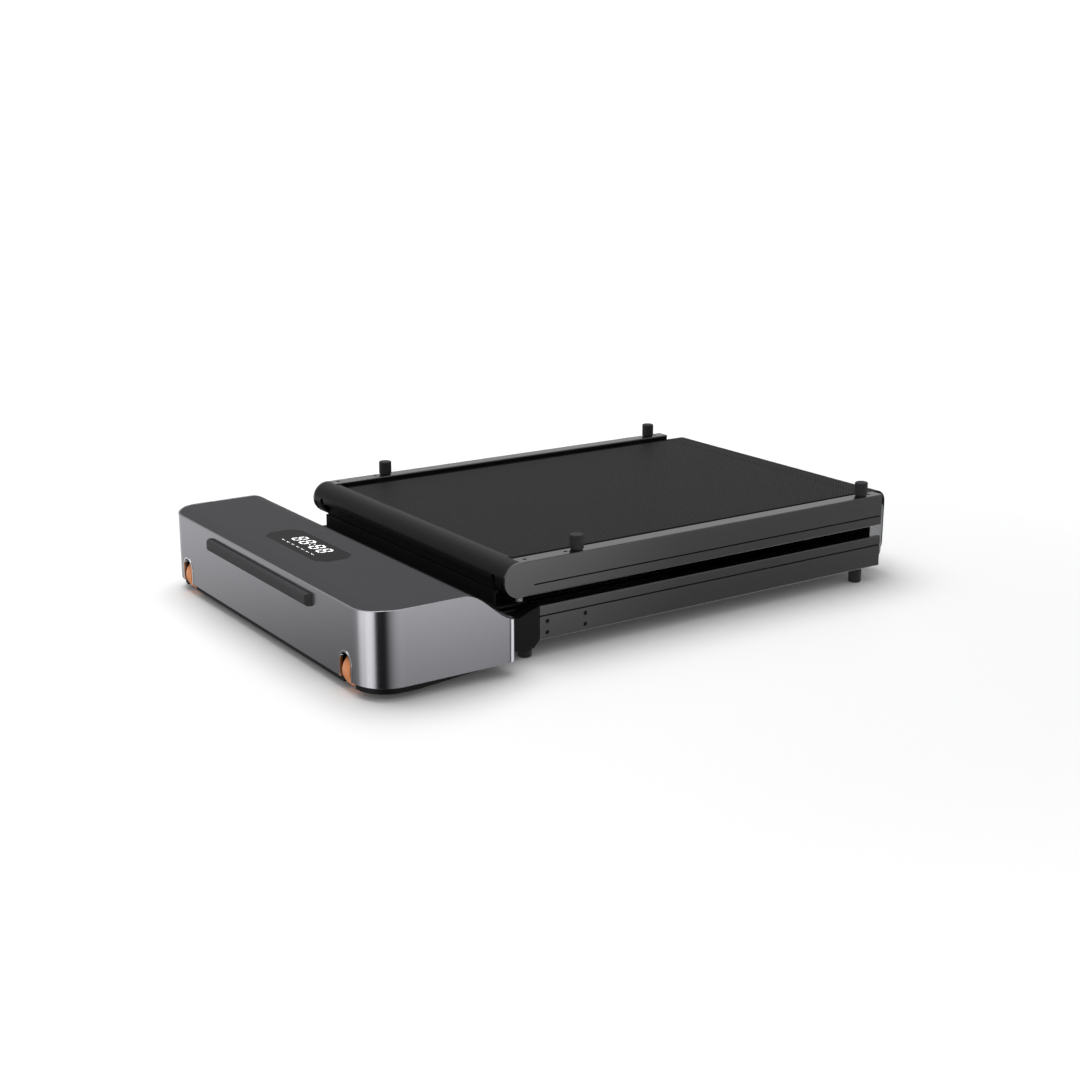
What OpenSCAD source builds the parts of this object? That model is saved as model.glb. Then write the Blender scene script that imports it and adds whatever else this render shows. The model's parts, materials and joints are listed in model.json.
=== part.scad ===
// Folding walking treadmill, drawn folded: the rear section lies upside down on the lower section.
// X runs from the head (front, -X) to the hinge end (+X), Z is up, and Y is across.
// The origin is on the floor, under the middle of the folded machine.

/* [Head] */
// Width of the head over its aluminium band
head_w = 547; // [440:1:680]
// Length of the head from its front face to its tail
head_l = 187; // [175:1:230]
// Height of the head's flat top above the floor
head_top = 102.6; // [98:0.1:125]
// Height of the head's low tail above the floor
head_tail = 64.7; // [63:0.1:80]
// Distance from the front face to the start of the sloping tail
slope_start = 118; // [105:1:150]
// Length of the shallow bevel along the front of the top
nose_l = 21; // [10:1:35]
// Drop of that bevel at the front face
nose_drop = 2; // [0:0.1:4]
// Height of the band's lower edge above the floor
band_bottom = 15; // [12:0.5:17]
// Wall of the aluminium band
band_wall = 2.5; // [1.5:0.1:4]
// Radius of the band's front corners
corner_r = 42; // [25:1:60]
// Radius of the band's tail corners
tail_r = 12; // [8:0.5:20]
// Length of the band's return behind each tail corner
tail_return = 15; // [13:1:30]
// Wall of the top cover
cover_wall = 3; // [2:0.1:4]
// Gap between the cover and the band
cover_gap = 0.3; // [0.1:0.1:1]

/* [Display] */
// Length of the display window across the machine
display_w = 155; // [100:1:200]
// Depth of the display window along the machine
display_d = 48; // [30:1:60]
// Distance from the front face to the window
display_x = 46; // [30:1:60]
// Offset of the window's middle from the machine's middle
display_y = 8.5; // [-40:0.5:40]
// Chamfer of the window's corners
display_chamfer = 12; // [4:1:16]
// Thickness of the window
display_t = 1; // [0.6:0.1:1.6]

/* [Storage strip] */
// Length of the rubber strip that the machine stands on when it is stored upright
strip_l = 280; // [200:1:330]
// Height of the strip's middle above the floor
strip_z = 84.5; // [70:0.5:86]
// Height of the strip
strip_h = 14.5; // [10:0.5:22]
// Distance that the strip stands out of the front face
strip_out = 7; // [4:0.5:12]
// Chamfer around the strip
strip_chamfer = 2.5; // [1:0.5:3.5]

/* [Transport wheels] */
// Distance from the band's side to the middle of each wheel
wheel_inset = 57; // [50:0.5:90]
// Radius of the tyre
wheel_r = 20.5; // [17:0.5:22]
// Width of the tyre
wheel_w = 18; // [12:0.5:19]
// Distance from the front face to the wheel axle
wheel_x = 19; // [18:0.5:22]
// Height of the wheel axle above the floor
wheel_z = 23.5; // [23:0.5:27]
// Radius of the wheel axle
wheel_axle_r = 3; // [2:0.1:4]
// Radius of the hub inside the tyre
hub_r = 14; // [10:0.5:15]
// Half width of the arched slot in the front face
arch_r = 14; // [13:0.5:16]
// Height of the top of the arched slot
arch_top = 47; // [45:0.5:60]

/* [Side rails] */
// Distance from the band's side to the rail's outer face
deck_inset = 36; // [30:0.5:60]
// Width of a side rail
rail_w = 20; // [18:0.5:26]
// Height of a side rail
rail_h = 41.7; // [40:0.1:50]
// Wall of a side rail
rail_wall = 2; // [1.5:0.1:3]
// Distance from the front face to the lower rails
rail_start = 240.5; // [235:0.5:270]
// Distance from the front face to the rounded free end of the upper section
upper_start = 192.45; // [190:0.05:215]
// Distance from the front face to the rails' hinge ends
section_end = 788.35; // [650:0.05:960]
// Height of the lower rails above the floor, which is the height of the feet
foot_h = 18.8; // [18.5:0.1:24]
// Gap between the lower and the upper rails when folded
fold_gap = 14.4; // [12:0.1:24]
// Width of the trim groove in the rail's outer face
groove_w = 1.6; // [0.6:0.1:2]
// Depth of the trim groove
groove_d = 1; // [0.3:0.1:1]
// Distance from the walking side of the rail to the groove
groove_at = 12.6; // [8:0.1:18]

/* [Belt and deck] */
// Gap between the belt's edge and the rail
belt_gap = 10; // [6:0.5:20]
// Depth of the belt below the rail's faces
belt_drop = 4.1; // [3:0.1:6]
// Thickness of the walking belt
belt_t = 1.6; // [1.2:0.1:2.2]
// Distance that the folded belt stands out past the hinge ends
loop_out = 36; // [24:0.05:44]
// Thickness of the deck boards
deck_t = 12; // [9:0.5:15]
// Distance from the front face to the front roller
front_roller_x = 160; // [150:1:165]
// Distance from the free end to the rear roller
rear_roller_in = 28.5; // [27:0.5:34]
// Radius of the roller axles
roller_axle_r = 6; // [4:0.1:7]

/* [Fold hinge] */
// Distance from the hinge pins to the rails' ends
hinge_inset = 6; // [5:0.5:14]
// Radius of the hinge pins
hinge_pin_r = 4; // [3:0.1:4.5]
// Half width of a hinge link
link_r = 11; // [8:0.5:14]
// Thickness of a hinge link
link_t = 15; // [8:0.5:15.4]

/* [Drive] */
// Radius of the drive motor
motor_r = 31; // [24:0.5:32]
// Length of the drive motor
motor_l = 115; // [90:1:125]
// Distance from the front face to the motor shaft
motor_x = 76; // [60:1:82]
// Height of the motor shaft above the floor
motor_z = 55; // [54:0.5:62]
// Radius of the motor shaft
shaft_r = 5; // [4:0.1:6]
// Pitch radius of the motor pulley
small_pulley_r = 6.8; // [6.5:0.1:8]
// Pitch radius of the roller pulley
large_pulley_r = 17; // [14:0.1:17]
// Width of the ribbed drive belt
drive_belt_w = 12; // [8:0.5:12]

/* [Feet and fasteners] */
// Radius of a foot
foot_r = 8.5; // [6:0.5:9.5]
// Distance from the front face to the front pair of feet
front_foot_x = 226; // [222:1:230]
// Distance from the hinge ends to the hinge pair of lower feet
lower_foot_in = 33.25; // [25:0.05:120]
// Distance from the free end to the first pair of upper feet
upper_foot_in = 106.35; // [60:0.05:200]
// Radius of a rail screw's head
screw_r = 2.75; // [2:0.05:3.5]

/* [Power] */
// Distance from the front face to the middle of the mains inlet
inlet_x = 62; // [56:1:70]
// Height of the middle of the inlet and the switch
power_z = 40; // [36:1:50]
// Distance from the inlet's middle to the switch's middle
switch_step = 42; // [38:1:50]
// Turn of the rocker from off to on
rocker_turn = 14; // [8:1:20]

/* [Hidden] */
$fn = 64;

// Colours
aluminium = "#97969a";
dark_metal = "#3a3a3c";
charcoal = "#48484a";
black = "#1c1c1e";
steel = "#b4b4b8";
orange = "#cf7c48";
belt_grey = "#38383a";
gloss_black = "#111113";
board_green = "#1f5a38";
plywood = "#a98255";

// Clearances
run = 0.05;   // radial clearance of a running fit
skim = 0.3;   // gap between a still belt and a turning roller
over = 1;     // distance that a cut runs past a face

// Levels and places, from the front face of the head
front_x = strip_out - (strip_out + section_end + loop_out) / 2;
deck_w = head_w - 2 * deck_inset;
rail_y = deck_w / 2 - rail_w / 2;
inner_y = deck_w / 2 - rail_w;
belt_w = 2 * (inner_y - belt_gap);
rail_top = foot_h + rail_h;
fold_mid = rail_top + fold_gap / 2;
pivot_x = section_end - hinge_inset;
pivot_z = foot_h + rail_h / 2;
pivot_gap = rail_h + fold_gap;
upper_z = pivot_z + pivot_gap;
belt_r = rail_h / 2 - belt_drop;
roller_r = belt_r - belt_t - skim;
roller_wall = 2.5;
tray_inset = band_wall + 2;
deck_top = pivot_z + belt_r - belt_t - skim;
deck_bottom = deck_top - deck_t;
rear_roller_x = upper_start + rear_roller_in;
end_r = rail_h / 2;
end_x = upper_start + end_r;
wheel_y = head_w / 2 - wheel_inset;
front_foot_h = 11;
power_y = head_w / 2;
hole_w = 28;
hole_h = 24;
rocker_depth = 8.2;
rocker_pin_r = 1.5;
cover_sink = 0.2;    // depth of the cover below the band's upper edge
connector_l = 4;
board_t = 1.6;
board_x = wheel_x + wheel_r + 32;
board_end = 126 - inner_y;
pulley_y = inner_y + 1.5;
pulley_half = drive_belt_w / 2 + 1.5;
roller_half = pulley_y - pulley_half;
rear_roller_half = belt_w / 2 + 1;
end_block_y = rear_roller_half + 0.5;
panel_x = upper_start + 7;
panel_wall = 2.5;
panel_bottom = 2 * fold_mid - rail_top + 1;
rear_axle_r = roller_axle_r - 1;
bolt_y = inner_y - 4.6;
chassis_z = 18;
chassis_t = 2;
chassis_top = chassis_z + chassis_t;
flange_t = 3;
flange_w = 13;
cushion_h = 3.5;
flange_z = deck_bottom - cushion_h - flange_t;
cheek_t = 8;
motor_end = pulley_y - 14;
motor_start = motor_end - motor_l;
drive_belt_t = 1.5;

// ---------- placing helpers ----------

// Moves a piece drawn from the head's front face into the machine's frame
module at_front() {
    translate([front_x, 0, 0]) children();
}

// Turns a piece of the lower section upside down onto the upper section
module folded_over() {
    translate([0, 0, 2 * fold_mid]) mirror([0, 0, 1]) children();
}

// The same piece on the left (-Y) and on the right (+Y)
module both_sides() {
    children();
    mirror([0, 1, 0]) children();
}

// Extrudes a (y, z) outline along X
module along_x(length) {
    rotate([90, 0, 90]) linear_extrude(height = length) children();
}

// Extrudes an (x, z) outline along Y, from y0 to y1
module along_y(y0, y1) {
    translate([0, y1, 0]) rotate([90, 0, 0]) linear_extrude(height = y1 - y0) children();
}

// A round bar along Y
module y_rod(x, z, r, y0, y1) {
    translate([x, y0, z]) rotate([-90, 0, 0]) cylinder(r = r, h = y1 - y0);
}

// A round bar along X
module x_rod(x0, x1, y, z, r) {
    translate([x0, y, z]) rotate([0, 90, 0]) cylinder(r = r, h = x1 - x0);
}

// A box between two corners
module box(low, high) {
    translate(low) cube(high - low);
}

// A rectangle with round corners, from its low corner
module round_rect(w, h, r) {
    translate([r, 0]) square([w - 2 * r, h]);
    translate([0, r]) square([w, h - 2 * r]);
    for (x = [r, w - r], y = [r, h - r]) translate([x, y]) circle(r = r);
}

// ---------- the head ----------

// Height of the head's top line over its sloping tail
function slope_z(x) = head_tail
    + (head_top - head_tail) * (1 + cos(180 * (x - slope_start) / (head_l - slope_start))) / 2;

// The area under the head's top line, seen from the side and lowered by drop
module under_head_line(drop) {
    steps = 18;
    step = (head_l - slope_start) / steps;
    tail = [for (i = [0:steps]) let (x = slope_start + i * step) [x, slope_z(x) - drop]];
    polygon(concat(
        [[-20, -20], [-20, head_top - nose_drop - drop], [0, head_top - nose_drop - drop],
         [nose_l, head_top - drop]],
        tail,
        [[head_l + 20, head_tail - drop], [head_l + 20, -20]]
    ));
}

// The head's outline from above, set in from the band's outer face
module head_plan(inset) {
    half = head_w / 2;
    for (s = [-1, 1]) {
        translate([corner_r, s * (half - corner_r)]) circle(r = corner_r - inset);
        translate([head_l - tail_r, s * (half - tail_r)]) circle(r = tail_r - inset);
    }
    translate([inset, corner_r - half]) square([head_l - 2 * inset, head_w - 2 * corner_r]);
    translate([corner_r, tail_r - half]) square([head_l - inset - corner_r, head_w - 2 * tail_r]);
    translate([corner_r, inset - half]) square([head_l - tail_r - corner_r, head_w - 2 * inset]);
}

// The arched slot that a transport wheel stands out of
module arch(r) {
    translate([0, arch_top - arch_r]) circle(r = r);
    translate([-r, band_bottom - over]) square([2 * r, arch_top - arch_r - band_bottom + over]);
}

// The two rectangular holes for the inlet and the switch
module power_holes() {
    for (x = [inlet_x, inlet_x + switch_step])
        translate([x - hole_w / 2, power_z - hole_h / 2]) square([hole_w, hole_h]);
}

module front_band() {
    open_w = head_w - 2 * tail_return;
    color(aluminium) at_front() difference() {
        intersection() {
            translate([0, 0, band_bottom]) linear_extrude(height = head_top - band_bottom)
                difference() {
                    head_plan(0);
                    head_plan(band_wall);
                    translate([head_l - band_wall - over, -open_w / 2])
                        square([band_wall + 2 * over, open_w]);
                }
            along_y(-head_w, head_w) under_head_line(0);
        }
        for (s = [-1, 1]) translate([-over, s * wheel_y, 0]) along_x(band_wall + 2 * over) arch(arch_r);
        along_y(power_y - band_wall - over, power_y + over) power_holes();
    }
}

module wheel_arch_trims() {
    trim_t = 1.4;
    lip_t = 0.6;
    lip_w = 1.2;
    color(steel) at_front() for (s = [-1, 1]) translate([0, s * wheel_y, 0]) difference() {
        union() {
            along_x(band_wall + lip_t) intersection() {
                arch(arch_r);
                translate([-2 * arch_r, band_bottom]) square([4 * arch_r, arch_top]);
            }
            translate([-lip_t, 0, 0]) along_x(lip_t) intersection() {
                arch(arch_r + lip_w);
                translate([-2 * arch_r, band_bottom]) square([4 * arch_r, arch_top]);
            }
        }
        translate([-lip_t - over, 0, 0]) along_x(band_wall + 2 * lip_t + 2 * over) arch(arch_r - trim_t);
    }
}

module stand_strip() {
    c = strip_chamfer;
    low = strip_z - strip_h / 2;
    high = strip_z + strip_h / 2;
    color(dark_metal) at_front() intersection() {
        along_y(-strip_l / 2, strip_l / 2)
            polygon([[0, low], [-strip_out + c, low], [-strip_out, low + c],
                     [-strip_out, high - c], [-strip_out + c, high], [0, high]]);
        linear_extrude(height = head_top)
            polygon([[0, -strip_l / 2], [0, strip_l / 2], [-strip_out, strip_l / 2 - 2 * c],
                     [-strip_out, 2 * c - strip_l / 2]]);
    }
}

// The window's outline from above
module display_outline(grow) {
    w = display_w + 2 * grow;
    d = display_d + 2 * grow;
    c = display_chamfer;
    translate([display_x - grow, display_y - w / 2]) polygon([
        [0, c], [0, w - c], [c, w], [d - c, w], [d, w - c], [d, c], [d - c, 0], [c, 0]
    ]);
}

module top_cover() {
    inset = band_wall + cover_gap;
    skirt = 14;
    mouth = 59;
    mouth_w = head_w - 2 * tail_return - 2 * cover_wall;
    board_w = display_w - 20;
    color(charcoal) at_front() difference() {
        intersection() {
            linear_extrude(height = head_top) head_plan(inset);
            along_y(-head_w, head_w) under_head_line(cover_sink);
        }
        intersection() {
            linear_extrude(height = head_top) head_plan(inset + cover_wall);
            along_y(-head_w, head_w) under_head_line(cover_sink + cover_wall);
        }
        along_y(-head_w, head_w) under_head_line(skirt);
        box([head_l - 20, -mouth_w / 2, 0], [head_l + over, mouth_w / 2, mouth]);
        translate([0, 0, head_top - cover_sink - display_t]) linear_extrude(height = 5) display_outline(0.2);
        box([display_x + 8, display_y - board_w / 2, head_top - 10],
            [display_x + display_d - 8, display_y + board_w / 2, head_top + over]);
    }
}

module display_window() {
    color(gloss_black) at_front() translate([0, 0, head_top - cover_sink - display_t])
        linear_extrude(height = display_t) display_outline(0);
}

module display_board() {
    top = head_top - cover_sink - cover_wall;
    board_w = display_w - 22;
    lamp_h = 2;
    color(board_green) at_front() {
        box([display_x + 4, display_y - board_w / 2, top - board_t],
            [display_x + display_d - 4, display_y + board_w / 2, top]);
        box([display_x + 15, display_y - 45, top], [display_x + 40, display_y + 40, top + lamp_h]);
        box([display_x + 10, display_y - 6, top - board_t - connector_l],
            [display_x + 18, display_y + 6, top - board_t]);
    }
}

module base_tray() {
    low = 7;
    rise_start = 60;
    rise_end = 162;
    tray_wall = 2.5;
    floor_at = [[-20, low], [rise_start, low], [rise_end, band_bottom - 0.5],
                [head_l + 20, band_bottom - 0.5]];
    slot_w = 2 * (arch_r - 1);
    color(black) at_front() difference() {
        intersection() {
            linear_extrude(height = chassis_z) head_plan(tray_inset);
            along_y(-head_w, head_w) polygon(concat(floor_at, [[head_l + 20, 90], [-20, 90]]));
        }
        intersection() {
            linear_extrude(height = chassis_z + over) head_plan(tray_inset + tray_wall);
            translate([0, 0, tray_wall]) along_y(-head_w, head_w)
                polygon(concat(floor_at, [[head_l + 20, 90], [-20, 90]]));
        }
        for (s = [-1, 1])
            box([-over, s * wheel_y - slot_w / 2, 0], [wheel_x + wheel_r + 4, s * wheel_y + slot_w / 2, 30]);
    }
}

module head_chassis() {
    start = wheel_x + wheel_r + 4;
    half = head_w / 2 - band_wall - 4.5;
    fold_half = wheel_y - wheel_w / 2 - 4;
    fold = 12;
    color(steel) at_front() {
        box([start, -half, chassis_z], [head_l - 6, half, chassis_top]);
        box([start, -fold_half, chassis_top], [start + chassis_t, fold_half, chassis_top + fold]);
    }
}

// The flat guard over the front roller, with an upright lip in front of the end cap's panel
module belt_guard() {
    low = pivot_z + belt_r + 2.4;
    half = inner_y - skim;
    start = head_l - band_wall - cover_gap;
    lip_x = panel_x - 0.6;
    lip_top = panel_bottom + 3;
    color(black) at_front() along_y(-half, half)
        polygon([[start, low], [rail_start - 6, low], [rail_start - 4, low + 1], [rail_start - 8, low + 2.8],
                 [start, low + 2.8]]);
    color(black) at_front()
        box([lip_x - panel_wall, -end_block_y, low + 1], [lip_x, end_block_y, lip_top]);
}

// A black side bracket that carries the front roller and plugs into the rail
module side_bracket() {
    neck = pivot_z + 12;
    low = front_foot_h;
    start = head_l - tray_inset;
    cheek_start = front_roller_x - 22;
    tongue_l = 34;
    slack = rail_wall + skim;
    color(black) at_front() difference() {
        union() {
            along_y(inner_y, deck_w / 2) polygon([
                [start, low + 3], [head_l + 2, low], [rail_start - 8, low], [rail_start, foot_h],
                [rail_start, rail_top], [rail_start - 14, neck + 5], [rail_start - 26, neck],
                [head_l + 12, neck - 1.5], [head_l + 3, neck], [start, neck + 3]
            ]);
            along_y(deck_w / 2 - cheek_t, deck_w / 2)
                polygon([[cheek_start, chassis_top], [head_l, chassis_top], [head_l, neck],
                         [front_roller_x + 4, neck + 3], [cheek_start, neck]]);
            box([rail_start - over, inner_y + slack, foot_h + slack],
                [rail_start + tongue_l, deck_w / 2 - slack, rail_top - slack]);
        }
        y_rod(front_roller_x, pivot_z, roller_axle_r, 0, deck_w);
    }
}

module left_side_bracket() {
    mirror([0, 1, 0]) side_bracket();
}

module right_side_bracket() {
    side_bracket();
}

module wheel_mount() {
    cheek = 2;
    gap = 0.5;
    back = wheel_x + wheel_r + 2;
    ear_r = 8;
    half = wheel_w / 2 + gap + cheek;
    plate = 2;
    difference() {
        union() {
            for (s = [-1, 1]) {
                y0 = s > 0 ? half - cheek : -half;
                along_y(y0, y0 + cheek) {
                    translate([wheel_x, wheel_z]) circle(r = ear_r);
                    translate([wheel_x, wheel_z - ear_r]) square([back - wheel_x + plate, 2 * ear_r]);
                }
            }
            box([back, -half, wheel_z - ear_r], [back + plate, half, wheel_z + ear_r + 8]);
            box([back, -half, chassis_top], [back + plate + 24, half, chassis_top + plate]);
        }
        y_rod(wheel_x, wheel_z, wheel_axle_r, -half - over, half + over);
    }
}

module wheel_mounts() {
    color(steel) at_front() for (s = [-1, 1]) translate([0, s * wheel_y, 0]) wheel_mount();
}

module wheel_axles() {
    half = wheel_w / 2 + 3;
    color(steel) at_front() for (s = [-1, 1])
        y_rod(wheel_x, wheel_z, wheel_axle_r, s * wheel_y - half, s * wheel_y + half);
}

// The plastic hub that turns on a wheel axle
module wheel_hub() {
    half = wheel_w / 2;
    translate([wheel_x, -half, wheel_z]) rotate([-90, 0, 0]) rotate_extrude()
        polygon([
            [wheel_axle_r + run, 0], [wheel_axle_r + 2.5, 0], [wheel_axle_r + 2.5, 2],
            [hub_r - 2, 2], [hub_r - 2, 0.5], [hub_r, 0.5], [hub_r, wheel_w - 0.5],
            [hub_r - 2, wheel_w - 0.5], [hub_r - 2, wheel_w - 2], [wheel_axle_r + 2.5, wheel_w - 2],
            [wheel_axle_r + 2.5, wheel_w], [wheel_axle_r + run, wheel_w]
        ]);
}

// The soft tyre on a wheel, with a crowned tread
module wheel_tyre() {
    half = wheel_w / 2;
    crown = 1.5;
    tread = [for (a = [-60:20:60]) [wheel_r - crown * (1 - cos(a * 1.5)), half * (1 + 0.9 * a / 60)]];
    translate([wheel_x, -half, wheel_z]) rotate([-90, 0, 0]) rotate_extrude()
        polygon(concat([[hub_r, 0.5], [wheel_r - 3, 0.3]], tread, [[wheel_r - 3, wheel_w - 0.3], [hub_r, wheel_w - 0.5]]));
}

module left_wheel_hub() {
    color(black) at_front() translate([0, -wheel_y, 0]) wheel_hub();
}

module right_wheel_hub() {
    color(black) at_front() translate([0, wheel_y, 0]) wheel_hub();
}

module left_wheel_tyre() {
    color(orange) at_front() translate([0, -wheel_y, 0]) wheel_tyre();
}

module right_wheel_tyre() {
    color(orange) at_front() translate([0, wheel_y, 0]) wheel_tyre();
}

// ---------- drive and electrics in the head ----------

module motor_body() {
    bell = 12;
    boss_r = 12;
    color(black) at_front() difference() {
        union() {
            y_rod(motor_x, motor_z, motor_r, motor_start + bell, motor_end - bell);
            y_rod(motor_x, motor_z, motor_r - 2, motor_start, motor_end);
            y_rod(motor_x, motor_z, boss_r, motor_start - 2, motor_end + 2);
        }
        y_rod(motor_x, motor_z, shaft_r + run, motor_start - 2 - over, motor_end + 2 + over);
        for (a = [0:60:300])
            translate([motor_x, 0, motor_z]) rotate([0, a, 0])
                y_rod(motor_r - 12, 0, 4, motor_start - over, motor_start + 5);
    }
}

module motor_mount() {
    half = 26;
    seat = 12;
    color(steel) at_front() for (y = [motor_start + 22, motor_end - 22 - seat])
        difference() {
            box([motor_x - half, y, chassis_top], [motor_x + half, y + seat, motor_z - 8]);
            y_rod(motor_x, motor_z, motor_r, y - over, y + seat + over);
        }
}

module motor_shaft() {
    color(steel) at_front()
        y_rod(motor_x, motor_z, shaft_r, motor_start - 8, pulley_y + drive_belt_w / 2 + 2);
}

// A ribbed pulley with flanges, along Y about its own axis
module ribbed_pulley(r, bore) {
    half = pulley_half;
    flange = 1.6;
    ribs = 5;
    pitch = drive_belt_w / (ribs + 1);
    rotate([-90, 0, 0]) difference() {
        union() {
            translate([0, 0, -half]) cylinder(r = r, h = 2 * half);
            for (z = [-half, half - 1]) translate([0, 0, z]) cylinder(r = r + flange, h = 1);
        }
        translate([0, 0, -half - over]) cylinder(r = bore, h = 2 * half + 2 * over);
        for (i = [1:ribs]) translate([0, 0, -drive_belt_w / 2 + i * pitch - 0.4])
            difference() {
                cylinder(r = r + 0.5, h = 0.8);
                translate([0, 0, -over]) cylinder(r = r - 0.8, h = 0.8 + 2 * over);
            }
    }
}

module motor_pulley() {
    color(dark_metal) at_front() translate([motor_x, pulley_y, motor_z])
        ribbed_pulley(small_pulley_r, shaft_r);
}

module front_roller_pulley() {
    color(dark_metal) at_front() translate([front_roller_x, pulley_y, pivot_z])
        ribbed_pulley(large_pulley_r, roller_axle_r + skim);
}

// The stretched loop of a belt over the two pulleys
module pulley_loop(grow) {
    hull() {
        translate([motor_x, motor_z]) circle(r = small_pulley_r + grow);
        translate([front_roller_x, pivot_z]) circle(r = large_pulley_r + grow);
    }
}

module drive_belt() {
    half = drive_belt_w / 2 - skim;
    color(black) at_front() along_y(pulley_y - half, pulley_y + half) difference() {
        pulley_loop(skim + drive_belt_t);
        pulley_loop(skim);
    }
}

module control_board() {
    x0 = board_x;
    x1 = x0 + 62;
    y1 = board_end + connector_l;
    y0 = y1 - 105;
    level = chassis_top + 6;
    top = level + board_t;
    color(board_green) at_front() {
        box([x0, y0, level], [x1, y1, top]);
        for (x = [x0 + 5, x1 - 5], y = [y0 + 5, y1 - 5])
            translate([x, y, chassis_top]) cylinder(r = 3, h = 6);
        for (y = [y0 + 22, y0 + 46]) translate([x0 + 14, y, top]) cylinder(r = 9, h = 30);
        translate([x0 + 15, y1 - 22, top]) cylinder(r = 11, h = 14);
        box([x1 - 12, y0 + 8, top], [x1 - 4, y0 + 30, top + 9]);
        box([x0 + 30, board_end - 10, top], [x0 + 52, board_end, top + 9]);
    }
}

module heatsink() {
    x0 = wheel_x + wheel_r + 60;
    y0 = -inner_y + 42;
    length = 50;
    foot = chassis_top + 7.6;
    fins = 6;
    pitch = 4;
    color(aluminium) at_front() {
        box([x0, y0, foot], [x0 + (fins - 1) * pitch + 1.5, y0 + length, foot + 4]);
        for (i = [0:fins - 1])
            box([x0 + i * pitch, y0, foot + 4], [x0 + i * pitch + 1.5, y0 + length, foot + 28]);
    }
}

module power_inlet() {
    mouth_w = 23;
    mouth_h = 17;
    depth = 16;
    pin_l = 10;
    color(black) at_front() difference() {
        box([inlet_x - hole_w / 2, power_y - depth - 3, power_z - hole_h / 2],
            [inlet_x + hole_w / 2, power_y, power_z + hole_h / 2]);
        box([inlet_x - mouth_w / 2, power_y - depth, power_z - mouth_h / 2],
            [inlet_x + mouth_w / 2, power_y + over, power_z + mouth_h / 2]);
    }
    color(steel) at_front() for (p = [[-6, -2], [0, 3], [6, -2]])
        box([inlet_x + p[0] - 1, power_y - depth, power_z + p[1] - 2],
            [inlet_x + p[0] + 1, power_y - depth + pin_l, power_z + p[1] + 2]);
}

module switch_frame() {
    x = inlet_x + switch_step;
    wall = 1.8;
    depth = 16;
    color(black) at_front() difference() {
        box([x - hole_w / 2, power_y - depth - 2, power_z - hole_h / 2],
            [x + hole_w / 2, power_y, power_z + hole_h / 2]);
        box([x - hole_w / 2 + wall, power_y - depth, power_z - hole_h / 2 + wall],
            [x + hole_w / 2 - wall, power_y + over, power_z + hole_h / 2 - wall]);
        x_rod(x - hole_w / 2 + 0.1, x + hole_w / 2 - 0.1, power_y - rocker_depth, power_z, rocker_pin_r + run);
    }
}

// The rocker lies in its off position, with its lower half pressed in
module switch_rocker() {
    x = inlet_x + switch_step;
    half_l = hole_w / 2 - 2.4;
    half_h = hole_h / 2 - 2.9;
    tilt = rocker_turn / 2;
    color(black) at_front() translate([0, power_y - rocker_depth, power_z]) rotate([tilt, 0, 0]) {
        translate([x - half_l, 0, 0]) along_x(2 * half_l)
            polygon([[-4, -6], [-4, 6], [0, half_h - 0.3], [6.6, half_h], [7.8 - half_h * sin(tilt), 0],
                     [6.6, -half_h], [0, 0.3 - half_h]]);
        x_rod(x - hole_w / 2 + 0.8, x + hole_w / 2 - 0.8, 0, 0, rocker_pin_r);
    }
}

// A run of cable through corner points, with a slightly thicker round joint at each
module cable(points, r) {
    joint_r = r + 0.4;
    for (i = [0:len(points) - 2]) {
        a = points[i];
        d = points[i + 1] - a;
        length = norm(d);
        turn = atan2(d[1], d[0]);
        lean = acos(d[2] / length);
        translate(a) rotate([0, lean, turn]) cylinder(r = r, h = length, $fn = 24);
        if (i > 0) translate(a) sphere(r = joint_r, $fn = 24);
    }
}

module internal_cables() {
    low = chassis_top + 5;
    rear = head_l - 58;
    plug = [board_x + 41, board_end, chassis_top + 12.1];
    display_plug = [display_x + 14, display_y, head_top - cover_sink - cover_wall - board_t - connector_l];
    color(black) at_front() {
        cable([[inlet_x, power_y - 19, power_z], [inlet_x, power_y - 24, power_z],
               [motor_x + 46, power_y - 30, low], [rear, 100, low], [rear, board_end + 25, low],
               plug + [6, 12, 0], plug + [6, 0, 0]], 2.5);
        cable([[motor_x, motor_start, motor_z + 20], [motor_x, motor_start - 12, motor_z + 20],
               plug + [-1, 14, 0], plug + [-1, 0, 0]], 2.5);
        cable([display_plug, display_plug - [0, 0, 10], plug + [-7, 16, 2], plug + [-7, 0, 2]], 1.5);
    }
}

// ---------- rollers ----------

module roller_tube(x, z, half) {
    difference() {
        y_rod(x, z, roller_r, -half, half);
        y_rod(x, z, roller_r - roller_wall, -half - over, half + over);
    }
}

module roller_bearings(x, z, half, bore) {
    width = 10;
    both_sides() difference() {
        y_rod(x, z, roller_r - roller_wall, half - width, half);
        y_rod(x, z, bore + run, half - width - over, half + over);
    }
}

module front_roller_axle() {
    color(steel) at_front() y_rod(front_roller_x, pivot_z, roller_axle_r, -deck_w / 2, deck_w / 2);
}

module front_roller_tube() {
    color(steel) at_front() roller_tube(front_roller_x, pivot_z, roller_half);
}

module front_roller_bearings() {
    color(steel) at_front() roller_bearings(front_roller_x, pivot_z, roller_half, roller_axle_r);
}

module rear_roller_axle() {
    color(steel) at_front() y_rod(rear_roller_x, upper_z, rear_axle_r, -inner_y, inner_y);
}

module rear_roller_tube() {
    color(steel) at_front() roller_tube(rear_roller_x, upper_z, rear_roller_half);
}

module rear_roller_bearings() {
    color(steel) at_front() roller_bearings(rear_roller_x, upper_z, rear_roller_half, rear_axle_r);
}

// ---------- the two sections ----------

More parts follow.
